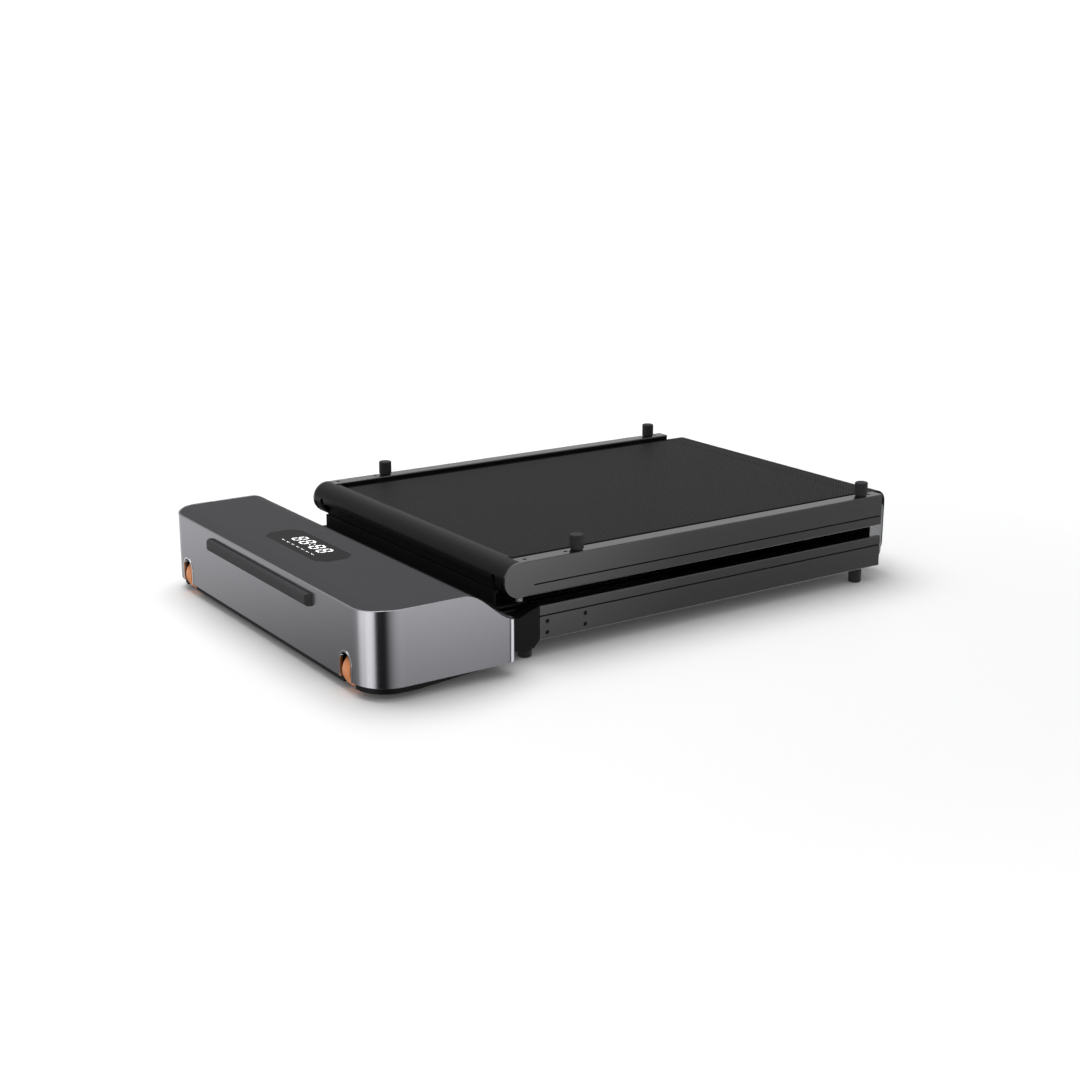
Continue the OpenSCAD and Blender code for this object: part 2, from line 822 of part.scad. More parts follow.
// The rail's outline across the machine, with its outer face towards +Y
module rail_profile() {
    translate([0, foot_h]) difference() {
        translate([-rail_w / 2, 0]) round_rect(rail_w, rail_h, 1.5);
        translate([-rail_w / 2 + rail_wall, rail_wall])
            square([rail_w - 2 * rail_wall, rail_h - 2 * rail_wall]);
        translate([rail_w / 2 - groove_d, rail_h - groove_at - groove_w / 2]) square([groove_d + over, groove_w]);
    }
}

// The right rail of a section, from its start to the hinge end, with a flange that carries the deck
module rail(start, flange_start) {
    difference() {
        union() {
            translate([start, rail_y, 0]) along_x(section_end - start) rail_profile();
            box([flange_start, inner_y - flange_w, flange_z],
                [section_end, inner_y + rail_wall, flange_z + flange_t]);
        }
        box([pivot_x - link_r - 1.5, rail_y - link_t / 2 - 0.5, rail_top - rail_wall - over],
            [section_end + over, rail_y + link_t / 2 + 0.5, rail_top + over]);
        y_rod(pivot_x, pivot_z, hinge_pin_r, inner_y - over, deck_w / 2 - rail_wall / 2);
    }
}

// Places of the countersunk screws in a lower rail's outer face
function side_screws() = [for (x = [10.5, 64.5], z = [8.2, 21.7]) [rail_start + x, foot_h + z]];

module lower_rail() {
    color(dark_metal) at_front() difference() {
        rail(rail_start, rail_start);
        for (p = side_screws()) y_rod(p[0], p[1], screw_r, deck_w / 2 - rail_wall - over, deck_w / 2 + over);
    }
}

module left_lower_rail() {
    mirror([0, 1, 0]) lower_rail();
}

module right_lower_rail() {
    lower_rail();
}

// A countersunk socket screw, with its head's face at the origin and its shank along -Z
module socket_screw(length) {
    socket_r = 1.5;
    difference() {
        union() {
            translate([0, 0, -rail_wall]) cylinder(r = screw_r, h = rail_wall - 0.3);
            translate([0, 0, -length]) cylinder(r = screw_r - 1.1, h = length - rail_wall + 0.1);
        }
        translate([0, 0, -1.6]) cylinder(r = socket_r, h = 3, $fn = 6);
    }
}

module lower_rail_screws() {
    color(steel) at_front() both_sides()
        for (p = side_screws()) translate([p[0], deck_w / 2, p[1]]) rotate([-90, 0, 0]) socket_screw(2);
}

// Places of the screws along an upper rail
function top_screws() = [upper_start + 33.5, upper_start + 90.5, section_end - 16.35];

// The free end of an upper rail is a round side plate that closes the end cap
module upper_rail() {
    plate = 3;
    start = end_x + 1.7;
    color(dark_metal) at_front() difference() {
        folded_over() union() {
            rail(start, rear_roller_x + belt_r + 6);
            y_rod(end_x, pivot_z, end_r, deck_w / 2 - plate, deck_w / 2);
        }
        for (x = top_screws()) translate([x, rail_y, 2 * fold_mid - foot_h - rail_wall - over])
            cylinder(r = screw_r, h = rail_wall + 2 * over);
    }
}

module left_upper_rail() {
    mirror([0, 1, 0]) upper_rail();
}

module right_upper_rail() {
    upper_rail();
}

module upper_rail_screws() {
    color(steel) at_front() both_sides()
        for (x = top_screws()) translate([x, rail_y, 2 * fold_mid - foot_h]) socket_screw(2);
}

// A deck board from its start to the hinge end
module deck_board(start) {
    half = inner_y - 1.5;
    box([start, -half, deck_bottom], [section_end - 14, half, deck_top]);
}

module lower_deck_board() {
    color(plywood) at_front() deck_board(front_roller_x + belt_r + 14);
}

module upper_deck_board() {
    color(plywood) at_front() folded_over() deck_board(rear_roller_x + belt_r + 6);
}

// Steel bars across a section, under its deck
module crossmembers(start) {
    bar_w = 30;
    bar_h = 9;
    bars = 3;
    first = start + 60;
    step = (section_end - 60 - first) / (bars - 1);
    for (i = [0:bars - 1]) difference() {
        box([first + i * step - bar_w / 2, -inner_y, flange_z - bar_h],
            [first + i * step + bar_w / 2, inner_y, flange_z]);
        box([first + i * step - bar_w / 2 + 2, -inner_y - over, flange_z - bar_h + 2],
            [first + i * step + bar_w / 2 - 2, inner_y + over, flange_z - 2]);
    }
}

module lower_crossmembers() {
    color(dark_metal) at_front() crossmembers(rail_start);
}

module upper_crossmembers() {
    color(dark_metal) at_front() folded_over() crossmembers(rear_roller_x + 20);
}

// Rubber cushions between the rails' flanges and a deck
module deck_cushions(start) {
    count = 5;
    first = start + 25;
    step = (section_end - 45 - first) / (count - 1);
    both_sides() for (i = [0:count - 1])
        translate([first + i * step, inner_y - flange_w / 2, flange_z + flange_t])
            cylinder(r = 5, h = deck_bottom - flange_z - flange_t);
}

module lower_deck_cushions() {
    color(black) at_front() deck_cushions(rail_start);
}

module upper_deck_cushions() {
    color(black) at_front() folded_over() deck_cushions(rear_roller_x + 20);
}

// One section's two belt runs and its turn around the roller
module belt_section(roller_x) {
    walk_end = pivot_x + belt_r;
    along_y(-belt_w / 2, belt_w / 2) {
        difference() {
            translate([roller_x, pivot_z]) circle(r = belt_r);
            translate([roller_x, pivot_z]) circle(r = belt_r - belt_t);
            translate([roller_x, pivot_z - 2 * belt_r]) square(4 * belt_r);
        }
        translate([roller_x, pivot_z + belt_r - belt_t]) square([walk_end - roller_x, belt_t]);
        translate([roller_x, pivot_z - belt_r]) square([pivot_x - roller_x, belt_t]);
    }
}

module lower_belt() {
    color(belt_grey) at_front() belt_section(front_roller_x);
}

module upper_belt() {
    color(belt_grey) at_front() folded_over() belt_section(rear_roller_x);
}

// The stretch of belt at the fold: the outer run past the hinge ends, and the short inner run
module belt_fold_loop() {
    low = pivot_z - belt_r;
    height = 2 * (fold_mid - low);
    depth = section_end + loop_out - pivot_x;
    r = 16;
    inner_x = pivot_x - belt_r;
    color(belt_grey) at_front() {
        along_y(-belt_w / 2, belt_w / 2) intersection() {
            difference() {
                translate([pivot_x - depth, low]) round_rect(2 * depth, height, r);
                translate([pivot_x - depth + belt_t, low + belt_t])
                    round_rect(2 * depth - 2 * belt_t, height - 2 * belt_t, r - belt_t);
            }
            translate([pivot_x + skim, 0]) square([2 * depth, 2 * height]);
        }
        box([inner_x, -belt_w / 2, pivot_z + belt_r + skim],
            [inner_x + belt_t, belt_w / 2, upper_z - belt_r - skim]);
    }
}

// A rubber foot with a ring at its base, standing on the floor at the origin
module foot(height) {
    rotate_extrude() polygon([
        [0, 0], [foot_r - 1, 0], [foot_r, 1], [foot_r, height - 2], [foot_r - 1.2, height - 1.6],
        [foot_r - 1.2, height], [0, height]
    ]);
}

module lower_feet() {
    color(dark_metal) at_front() both_sides() {
        translate([front_foot_x, rail_y, 0]) foot(front_foot_h);
        translate([section_end - lower_foot_in, rail_y, 0]) foot(foot_h);
    }
}

module upper_feet() {
    color(dark_metal) at_front() folded_over() both_sides()
        for (x = [upper_start + upper_foot_in, section_end - lower_foot_in + 3.1])
            translate([x, rail_y, 0]) foot(foot_h);
}

module hinge_pins() {
    both_sides() y_rod(pivot_x, pivot_z, hinge_pin_r, inner_y, deck_w / 2 - rail_wall / 2);
}

module lower_hinge_pins() {
    color(steel) at_front() hinge_pins();
}

module upper_hinge_pins() {
    color(steel) at_front() folded_over() hinge_pins();
}

// A flat link that joins the two hinge pins inside the rails
module hinge_link() {
    color(steel) at_front() difference() {
        along_y(rail_y - link_t / 2, rail_y + link_t / 2) {
            for (z = [pivot_z, upper_z]) translate([pivot_x, z]) circle(r = link_r);
            translate([pivot_x - link_r, pivot_z]) square([2 * link_r, pivot_gap]);
        }
        for (z = [pivot_z, upper_z]) y_rod(pivot_x, z, hinge_pin_r + run, 0, deck_w);
    }
}

module left_hinge_link() {
    mirror([0, 1, 0]) hinge_link();
}

module right_hinge_link() {
    hinge_link();
}

// The rounded cap across the free end, with a set-back panel in front of the rear roller
module rear_end_cap() {
    wall = panel_wall;
    lip_z = upper_z - 1.8;
    block_y = end_block_y;
    cap_y = deck_w / 2 - 3.2;
    color(dark_metal) at_front() difference() {
        union() {
            along_y(-block_y, block_y) {
                intersection() {
                    difference() {
                        translate([end_x, upper_z]) circle(r = end_r);
                        translate([end_x, upper_z]) circle(r = end_r - wall);
                    }
                    translate([end_x - 2 * end_r, lip_z]) square([2 * end_r, 2 * end_r]);
                }
                translate([end_x - 0.1, upper_z + end_r - wall]) square([5, wall]);
                translate([upper_start + 1, lip_z]) square([panel_x - upper_start, wall]);
                translate([panel_x, panel_bottom]) square([wall, lip_z + wall - panel_bottom]);
            }
            both_sides() along_y(block_y, cap_y) {
                intersection() {
                    translate([end_x, upper_z]) circle(r = end_r);
                    translate([end_x - 2 * end_r, 0]) square([2 * end_r, 4 * upper_z]);
                }
                translate([end_x - 0.1, upper_z - end_r]) square([1.7, 2 * end_r]);
            }
        }
        for (s = [-1, 1]) {
            x_rod(upper_start - over, panel_x + 5, s * bolt_y, upper_z, 4.4);
            x_rod(upper_start, end_x + 5, s * bolt_y, upper_z, 2.6);
            box([upper_start - over, s * rail_y + s * 3.5 - 2, upper_z - 12],
                [panel_x + 2, s * rail_y + s * 3.5 + 2, upper_z - 2.4]);
            box([upper_start - over, s * bolt_y - 2.2, upper_z - 12],
                [panel_x + 2, s * bolt_y + 2.2, upper_z]);
        }
    }
}

module tension_bolts() {
    head_x = upper_start + 8;
    color(steel) at_front() both_sides() difference() {
        union() {
            x_rod(head_x, head_x + 4, bolt_y, upper_z, 4.2);
            x_rod(head_x, rear_roller_x - rear_axle_r, bolt_y, upper_z, 2.5);
        }
        translate([head_x - over, bolt_y, upper_z]) rotate([0, 90, 0]) cylinder(r = 2.2, h = 3, $fn = 6);
    }
}

module fold_bumpers() {
    height = 6.7;
    bottom = 2 * fold_mid - rail_top;
    color(dark_metal) at_front() both_sides()
        translate([end_x + 5, rail_y, bottom - height]) cylinder(r = 4, h = height);
}

// ---------- the machine ----------

front_band();
wheel_arch_trims();
stand_strip();
top_cover();
display_window();
display_board();
base_tray();
head_chassis();
belt_guard();
left_side_bracket();
right_side_bracket();
wheel_mounts();
wheel_axles();
motor_body();
motor_mount();
control_board();
heatsink();
power_inlet();
switch_frame();
internal_cables();
drive_belt();
front_roller_axle();
left_lower_rail();
right_lower_rail();
lower_deck_board();
lower_crossmembers();
lower_deck_cushions();
lower_belt();
lower_feet();
lower_rail_screws();
lower_hinge_pins();
motor_shaft();
motor_pulley();
front_roller_tube();
front_roller_bearings();
front_roller_pulley();
left_wheel_hub();
left_wheel_tyre();
right_wheel_hub();
right_wheel_tyre();
switch_rocker();
left_hinge_link();
right_hinge_link();
belt_fold_loop();
left_upper_rail();
right_upper_rail();
upper_deck_board();
upper_crossmembers();
upper_deck_cushions();
upper_belt();
upper_feet();
upper_rail_screws();
upper_hinge_pins();
rear_end_cap();
rear_roller_axle();
tension_bolts();
fold_bumpers();
rear_roller_tube();
rear_roller_bearings();
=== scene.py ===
"""Looks of a folding walking treadmill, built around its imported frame.

Every size is in metres, in the frame's own axes: +X runs from the head to the hinge end and +Z is up.
Most outer pieces are the frame's own shapes with their edges worked soft. The display's lamps, the tray's
screws, the inlet's pins and the belt's turn at the fold are new pieces.
"""

import json
import logging
import math
from collections.abc import Callable, Sequence
from dataclasses import dataclass
from enum import Enum

import bmesh
import bpy
from mathutils import Matrix, Vector


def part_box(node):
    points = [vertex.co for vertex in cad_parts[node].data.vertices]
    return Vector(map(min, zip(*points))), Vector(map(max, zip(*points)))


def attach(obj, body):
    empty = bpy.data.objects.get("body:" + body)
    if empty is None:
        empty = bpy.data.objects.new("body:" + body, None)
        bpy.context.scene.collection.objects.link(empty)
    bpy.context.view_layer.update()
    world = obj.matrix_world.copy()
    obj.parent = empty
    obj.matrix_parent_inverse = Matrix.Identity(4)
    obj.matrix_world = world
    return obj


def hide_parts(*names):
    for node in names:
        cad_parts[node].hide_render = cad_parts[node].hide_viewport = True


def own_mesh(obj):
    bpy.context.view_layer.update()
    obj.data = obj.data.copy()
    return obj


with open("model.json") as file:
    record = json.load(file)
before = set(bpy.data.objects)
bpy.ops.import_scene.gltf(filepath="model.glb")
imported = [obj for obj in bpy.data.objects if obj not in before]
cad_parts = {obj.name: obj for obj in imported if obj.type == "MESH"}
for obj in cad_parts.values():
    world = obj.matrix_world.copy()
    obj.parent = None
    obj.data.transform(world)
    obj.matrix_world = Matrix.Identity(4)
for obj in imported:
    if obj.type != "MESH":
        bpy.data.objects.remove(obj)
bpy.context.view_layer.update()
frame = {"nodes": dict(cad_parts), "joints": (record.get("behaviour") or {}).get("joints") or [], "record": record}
LOG = logging.getLogger("treadmill")

Colour = tuple[float, float, float, float]
Socket = bpy.types.NodeSocket
Tree = bpy.types.NodeTree
Material = bpy.types.Material
Shape = bmesh.types.BMesh


def mm(value: float) -> float:
    """Turns millimetres to metres."""
    return value / 1000


WELD = mm(0.004)  # corners closer than this are one corner
SEAM = mm(0.02)  # a thin piece stands this far off what it lies on
IN_PLANE = math.radians(0.4)  # faces that turn less than this lie in one plane


class Body(Enum):
    """The frame's moving bodies that new pieces ride on."""

    BASE = "base"
    LINK = "hinge_link"


class Side(Enum):
    """The two sides of the machine, as signs along Y."""

    LEFT = -1
    RIGHT = 1


# ---------- finishes ----------


def linear(shade: str) -> Colour:
    """Turns an sRGB hex colour to the linear colour that a shader takes.

    Args:
        shade: the colour, such as "#8a8a8c".

    Returns:
        Red, green, blue and an alpha of 1.
    """
    channels = [int(shade[i:i + 2], 16) / 255 for i in (1, 3, 5)]
    red, green, blue = (c / 12.92 if c <= 0.04045 else ((c + 0.055) / 1.055) ** 2.4 for c in channels)
    return red, green, blue, 1.0


def add_node(tree: Tree, kind: str, values: dict | None = None, links: dict | None = None,
             **settings: object) -> bpy.types.Node:
    """Adds one shader node.

    Args:
        tree: the node tree that takes it.
        kind: the node's type name.
        values: constants for its input sockets, by name or number.
        links: output sockets that feed its input sockets, by name or number.
        **settings: the node's own properties.

    Returns:
        The new node.
    """
    node = tree.nodes.new(kind)
    for key, value in settings.items():
        setattr(node, key, value)
    for key, value in (values or {}).items():
        node.inputs[key].default_value = value
    for key, socket in (links or {}).items():
        tree.links.new(socket, node.inputs[key])
    return node


@dataclass(frozen=True)
class Finish:
    """One real material and the way that its surface was made.

    The subclasses draw the surface's pattern. Each pattern is a field from 0 to 1 that tints the colour,
    changes the roughness and raises the surface.
    """

    name: str
    slot: str
    colour: str
    tint: str
    roughness: float
    rough_spread: float = 0.08
    metallic: float = 0.0
    specular: float = 0.5
    coat: float = 0.0
    sheen: float = 0.0
    height_mm: float = 0.02
    mottle_mm: float = 25.0

    def material(self) -> Material:
        """Makes the finish's material, or finds it if it is made already.

        Returns:
            The material.
        """
        made = bpy.data.materials.get(self.name)
        if made:
            return made
        made = bpy.data.materials.new(self.name)
        made.use_nodes = True
        tree = made.node_tree
        shader = tree.nodes["Principled BSDF"]
        shader.inputs["Metallic"].default_value = self.metallic
        shader.inputs["Specular IOR Level"].default_value = self.specular
        shader.inputs["Coat Weight"].default_value = self.coat
        shader.inputs["Sheen Weight"].default_value = self.sheen
        place = add_node(tree, "ShaderNodeTexCoord").outputs["Object"]
        self.lay(tree, shader, self.pattern(tree, place))
        return made

    def pattern(self, tree: Tree, place: Socket) -> Socket:
        """Draws the surface's pattern, here a faint even mottle.

        Args:
            tree: the material's nodes.
            place: the point, in metres.

        Returns:
            A field from 0 to 1.
        """
        return add_node(tree, "ShaderNodeTexNoise", {"Scale": 1000 / self.mottle_mm, "Detail": 3.0},
                        {"Vector": place}).outputs[0]

    def lay(self, tree: Tree, shader: bpy.types.Node, pattern: Socket) -> None:
        """Lets the pattern tint, dull and raise the surface.

        Args:
            tree: the material's nodes.
            shader: the surface shader.
            pattern: the field from 0 to 1.
        """
        mix = add_node(tree, "ShaderNodeMix", {6: linear(self.colour), 7: linear(self.tint)}, {0: pattern},
                       data_type="RGBA")
        low = max(0.02, self.roughness - self.rough_spread / 2)
        rough = add_node(tree, "ShaderNodeMapRange", {"To Min": low, "To Max": low + self.rough_spread},
                         {"Value": pattern})
        bump = add_node(tree, "ShaderNodeBump", {"Strength": 1.0, "Distance": mm(self.height_mm)},
                        {"Height": pattern})
        tree.links.new(mix.outputs[2], shader.inputs["Base Color"])
        tree.links.new(rough.outputs[0], shader.inputs["Roughness"])
        tree.links.new(bump.outputs[0], shader.inputs["Normal"])


@dataclass(frozen=True)
class Brushed(Finish):
    """Aluminium sheet brushed along its length, then anodised: hairlines that smear the light upright."""

    line_mm: float = 0.35
    streak_mm: float = 45.0
    grits_per_m: float = 900.0
    grit_share: float = 0.35

    def pattern(self, tree: Tree, place: Socket) -> Socket:
        """Draws hairlines that run level round the head, with a fine grit between them.

        Args:
            tree: the material's nodes.
            place: the point, in metres.

        Returns:
            A field from 0 to 1.
        """
        stretch = (1000 / self.streak_mm, 1000 / self.streak_mm, 1000 / self.line_mm)
        lines = add_node(tree, "ShaderNodeMapping", {"Scale": stretch}, {"Vector": place})
        hair = add_node(tree, "ShaderNodeTexNoise", {"Scale": 1.0, "Detail": 4.0, "Roughness": 0.65},
                        {"Vector": lines.outputs[0]})
        grit = add_node(tree, "ShaderNodeTexNoise", {"Scale": self.grits_per_m, "Detail": 1.0},
                        {"Vector": place})
        return add_node(tree, "ShaderNodeMix", {0: self.grit_share},
                        {2: hair.outputs[0], 3: grit.outputs[0]}).outputs[0]


@dataclass(frozen=True)
class Moulded(Finish):
    """Injection moulding from a spark-eroded tool: a fine even grain that keeps the shine low and soft."""

    grain_mm: float = 0.9
    cloud_mm: float = 60.0
    cloud_share: float = 0.3

    def pattern(self, tree: Tree, place: Socket) -> Socket:
        """Draws the tool's grain, with faint clouds where hands and cloths have passed.

        Args:
            tree: the material's nodes.
            place: the point, in metres.

        Returns:
            A field from 0 to 1.
        """
        grain = add_node(tree, "ShaderNodeTexNoise",
                         {"Scale": 1000 / self.grain_mm, "Detail": 2.0, "Roughness": 0.6}, {"Vector": place})
        cloud = add_node(tree, "ShaderNodeTexNoise", {"Scale": 1000 / self.cloud_mm, "Detail": 3.0},
                         {"Vector": place})
        return add_node(tree, "ShaderNodeMix", {0: self.cloud_share},
                        {2: grain.outputs[0], 3: cloud.outputs[0]}).outputs[0]


@dataclass(frozen=True)
class Drawn(Finish):
    """Aluminium drawn through a die along X, then coated dark: faint lines under a satin coat."""

    line_mm: float = 1.2
    run_mm: float = 400.0
    speck_mm: float = 0.6
    speck_share: float = 0.55

    def pattern(self, tree: Tree, place: Socket) -> Socket:
        """Draws die lines along X and the coat's fine specks.

        Args:
            tree: the material's nodes.
            place: the point, in metres.

        Returns:
            A field from 0 to 1.
        """
        stretch = (1000 / self.run_mm, 1000 / self.line_mm, 1000 / self.line_mm)
        lines = add_node(tree, "ShaderNodeMapping", {"Scale": stretch}, {"Vector": place})
        die = add_node(tree, "ShaderNodeTexNoise", {"Scale": 1.0, "Detail": 2.0},
                       {"Vector": lines.outputs[0]})
        specks = add_node(tree, "ShaderNodeTexNoise", {"Scale": 1000 / self.speck_mm, "Detail": 1.0},
                          {"Vector": place})
        return add_node(tree, "ShaderNodeMix", {0: self.speck_share},
                        {2: die.outputs[0], 3: specks.outputs[0]}).outputs[0]


@dataclass(frozen=True)
class Turned(Finish):
    """Steel turned or ground round an axis along Y: fine rings that catch the light in bands."""

    ring_mm: float = 0.35
    drift_mm: float = 50.0

    def pattern(self, tree: Tree, place: Socket) -> Socket:
        """Draws rings that change along Y and hardly round the axis.

        Args:
            tree: the material's nodes.
            place: the point, in metres.

        Returns:
            A field from 0 to 1.
        """
        stretch = (1000 / self.drift_mm, 1000 / self.ring_mm, 1000 / self.drift_mm)
        rings = add_node(tree, "ShaderNodeMapping", {"Scale": stretch}, {"Vector": place})
        return add_node(tree, "ShaderNodeTexNoise", {"Scale": 1.0, "Detail": 3.0, "Roughness": 0.6},
                        {"Vector": rings.outputs[0]}).outputs[0]


@dataclass(frozen=True)
class Embossed(Finish):
    """PVC belt cloth rolled against an embossed cylinder: rows of small diamonds that break up the shine."""

    diamond_mm: float = 5.0

    def pattern(self, tree: Tree, place: Socket) -> Socket:
        """Draws diamonds. Length is measured along X and Z together, so they carry on round the turns.

        Args:
            tree: the material's nodes.
            place: the point, in metres.

        Returns:
            A field from 0 to 1.
        """
        axes = add_node(tree, "ShaderNodeSeparateXYZ", links={0: place})
        along = add_node(tree, "ShaderNodeMath", links={0: axes.outputs["X"], 1: axes.outputs["Z"]},
                         operation="ADD")
        rows = []
        for turn in ("ADD", "SUBTRACT"):
            across = add_node(tree, "ShaderNodeMath", links={0: along.outputs[0], 1: axes.outputs["Y"]},
                              operation=turn)
            wide = add_node(tree, "ShaderNodeMath", {1: math.pi * 1000 / self.diamond_mm},
                            {0: across.outputs[0]}, operation="MULTIPLY")
            wave = add_node(tree, "ShaderNodeMath", links={0: wide.outputs[0]}, operation="SINE")
            rows.append(add_node(tree, "ShaderNodeMath", links={0: wave.outputs[0]}, operation="ABSOLUTE"))
        diamond = add_node(tree, "ShaderNodeMath", links={0: rows[0].outputs[0], 1: rows[1].outputs[0]},
                           operation="MULTIPLY")
        return diamond.outputs[0]


@dataclass(frozen=True)
class Veneered(Finish):
    """Laminated deck board: thin plies across the thickness and grain along X, under a wear film."""

    ply_mm: float = 1.5
    grain_per_m: tuple[float, float] = (6.0, 220.0)

    def pattern(self, tree: Tree, place: Socket) -> Socket:
        """Draws grain along X and plies across the thickness.

        Args:
            tree: the material's nodes.
            place: the point, in metres.

        Returns:
            A field from 0 to 1.
        """
        stretch = (*self.grain_per_m, 1000 / self.ply_mm)
        grain = add_node(tree, "ShaderNodeMapping", {"Scale": stretch}, {"Vector": place})
        return add_node(tree, "ShaderNodeTexNoise", {"Scale": 1.0, "Detail": 5.0, "Distortion": 0.4},
                        {"Vector": grain.outputs[0]}).outputs[0]


@dataclass(frozen=True)
class Printed(Finish):
    """Circuit board under solder mask: a green skin that stands up a little over its copper tracks."""

    track_mm: float = 2.2
    scatter: float = 0.55
    track_edge: float = 0.45

    def pattern(self, tree: Tree, place: Socket) -> Socket:
        """Draws tracks as blocks of cells that step from one level to another.

        Args:
            tree: the material's nodes.
            place: the point, in metres.

        Returns:
            A field from 0 to 1.
        """
        cells = add_node(tree, "ShaderNodeTexVoronoi",
                         {"Scale": 1000 / self.track_mm, "Randomness": self.scatter},
                         {"Vector": place}, distance="MANHATTAN")
        return add_node(tree, "ShaderNodeMath", {1: self.track_edge}, {0: cells.outputs["Distance"]},
                        operation="GREATER_THAN").outputs[0]


@dataclass(frozen=True)
class Lit(Finish):
    """A lamp film behind the window: it gives off its own even light."""

    power: float = 1.0

    def material(self) -> Material:
        """Makes the material and lets it shine.

        Returns:
            The material.
        """
        made = super().material()
        shader = made.node_tree.nodes["Principled BSDF"]
        shader.inputs["Emission Color"].default_value = linear(self.colour)
        shader.inputs["Emission Strength"].default_value = self.power
        return made


# Anodised aluminium sheet with a level brush: a satin grey mirror that takes the room's light and dark.
BAND = Brushed("brushed anodised aluminium", "brushed_aluminium", "#a5a4a8", "#b0afb3", 0.20,
               rough_spread=0.06, metallic=1.0, height_mm=0.004)
# Bright chrome on a pressed liner: a hard thin highlight round each wheel slot.
CHROME = Turned("bright chrome plate", "polished_trim", "#d6d7da", "#e4e5e8", 0.08, rough_spread=0.05,
                metallic=1.0, height_mm=0.002)
# Charcoal ABS from a spark-eroded tool: dark and even, with a low broad shine.
COVER = Moulded("charcoal grained ABS", "cover_plastic", "#37373a", "#414143", 0.45, specular=0.05,
                height_mm=0.03)
# Black ABS for trays, guards and brackets: blacker and a little smoother than the cover.
BLACK_ABS = Moulded("black moulded ABS", "black_plastic", "#0e0e0f", "#151516", 0.46, specular=0.15,
                    height_mm=0.03)
# Smoked acrylic window: a deep black gloss with faint wiping marks.
SMOKED = Moulded("smoked gloss acrylic", "window_plastic", "#040405", "#070708", 0.16, specular=0.05,
                 grain_mm=4.0, height_mm=0.003)
# Styrene-butadiene rubber of the feet and deck cushions: a dry dark grey that takes hardly any shine.
RUBBER = Moulded("moulded grey rubber", "foot_rubber", "#28282a", "#343436", 0.68, specular=0.2,
                 grain_mm=1.4, height_mm=0.05)
# Denser rubber of the strip that the folded machine stands on: dark, with a faint sheen along its crown.
STRIP = Moulded("moulded strip rubber", "strip_rubber", "#29292b", "#343436", 0.55, specular=0.35,
                height_mm=0.03)
# Pale rubber of the bumpers between the folded halves: a light dull grey in the dark gap.
BUMPER = Moulded("pale bumper rubber", "foot_rubber", "#8d8c8e", "#a3a2a4", 0.6, grain_mm=1.4,
                 height_mm=0.03)
# Cast polyurethane tyre: warm orange with a soft waxy shine.
TYRE = Moulded("cast orange polyurethane", "orange_tyre", "#dd8448", "#e8965c", 0.38, grain_mm=2.0,
               sheen=0.1, height_mm=0.03)
# Glass-filled nylon of the wheel hubs: black, a little cloudy, with a soft shine.
HUB = Moulded("black glass-filled nylon", "hub_plastic", "#202022", "#2b2b2d", 0.5)
# Extruded aluminium under a dark satin coat: near black from the side, light grey where it grazes the light.
RAIL = Drawn("dark coated extrusion", "dark_aluminium", "#0c0c0d", "#121213", 0.24, specular=0.9,
             coat=1.0, height_mm=0.006)
# Cast aluminium of the rounded free end under a satin coat: smooth, dark, with a narrow soft highlight.
CAP = Moulded("dark satin cast aluminium", "dark_aluminium", "#121213", "#1a1a1b", 0.28, specular=0.14,
              grain_mm=1.1, height_mm=0.012)
# Painted shade: a near-black matt finish in the rails' grooves and along their inner edges, for the shadow in the
# groove and the dark gap beside the belt. It gives back almost no light.
RAIL_SHADE = Drawn("painted rail shade", "dark_aluminium", "#060606", "#0a0a0b", 0.7, specular=0.05)
# Zinc plated sheet: a pale, slightly yellow grey with cloudy spangle.
ZINC = Moulded("zinc plated sheet", "zinc_steel", "#8d8e8c", "#a7a8a4", 0.38, metallic=1.0, grain_mm=6.0,
               height_mm=0.01)
# Bright turned or ground steel of axles, rollers, pins and links: fine rings that catch light in bands.
STEEL = Turned("turned bright steel", "turned_steel", "#a9aaac", "#c2c3c6", 0.24, metallic=1.0,
               height_mm=0.008)
# Black oxide on screw heads: a dark metal with a dull glint.
BLACK_STEEL = Turned("black oxide steel", "black_screw", "#101011", "#1b1b1c", 0.4, metallic=0.6,
                     height_mm=0.01)
# Baked enamel on the motor's can: smooth black under a thin gloss.
ENAMEL = Moulded("black motor enamel", "motor_enamel", "#151516", "#1c1c1e", 0.3, grain_mm=3.0, coat=0.3)
# Machined aluminium of the pulleys and the heatsink: a mid grey metal with tool rings.
PULLEY = Turned("machined aluminium", "pulley_metal", "#7c7d80", "#9a9b9e", 0.3, metallic=1.0,
                height_mm=0.01)
# PVC walking belt on woven polyester. The real diamonds are 3 mm; 5 mm is the least that still shows.
BELT = Embossed("diamond embossed PVC belt", "walking_belt", "#151516", "#2e2e30", 0.5,
                rough_spread=0.3, specular=0.04, height_mm=0.35)
# Painted shade: a near-black strip along the belt's cut edges, for the dark gap between the belt and the rails.
BELT_EDGE_SHADE = Moulded("painted belt edge shade", "walking_belt", "#050505", "#080808", 0.7, specular=0.02)
# Ribbed drive belt rubber: dull black.
RIBBED = Moulded("black ribbed rubber", "ribbed_belt", "#161617", "#202021", 0.7)
# Deck board under a black wear film on every side: dark, with faint grain.
PLY = Veneered("black filmed deck board", "deck_laminate", "#1b1917", "#262320", 0.45, height_mm=0.05)
# Green solder mask of the boards: a wet gloss over raised tracks.
MASK = Printed("green solder mask", "circuit_board", "#123d25", "#1d5a37", 0.28, height_mm=0.03)
# Black epoxy of the parts that stand on the board: dark, with a soft shine.
EPOXY = Moulded("black component epoxy", "circuit_board", "#161617", "#222223", 0.35)
# PVC jacket of the cables inside the head: satin black.
JACKET = Moulded("black PVC cable jacket", "cable_jacket", "#131314", "#1b1b1c", 0.5, grain_mm=1.5)
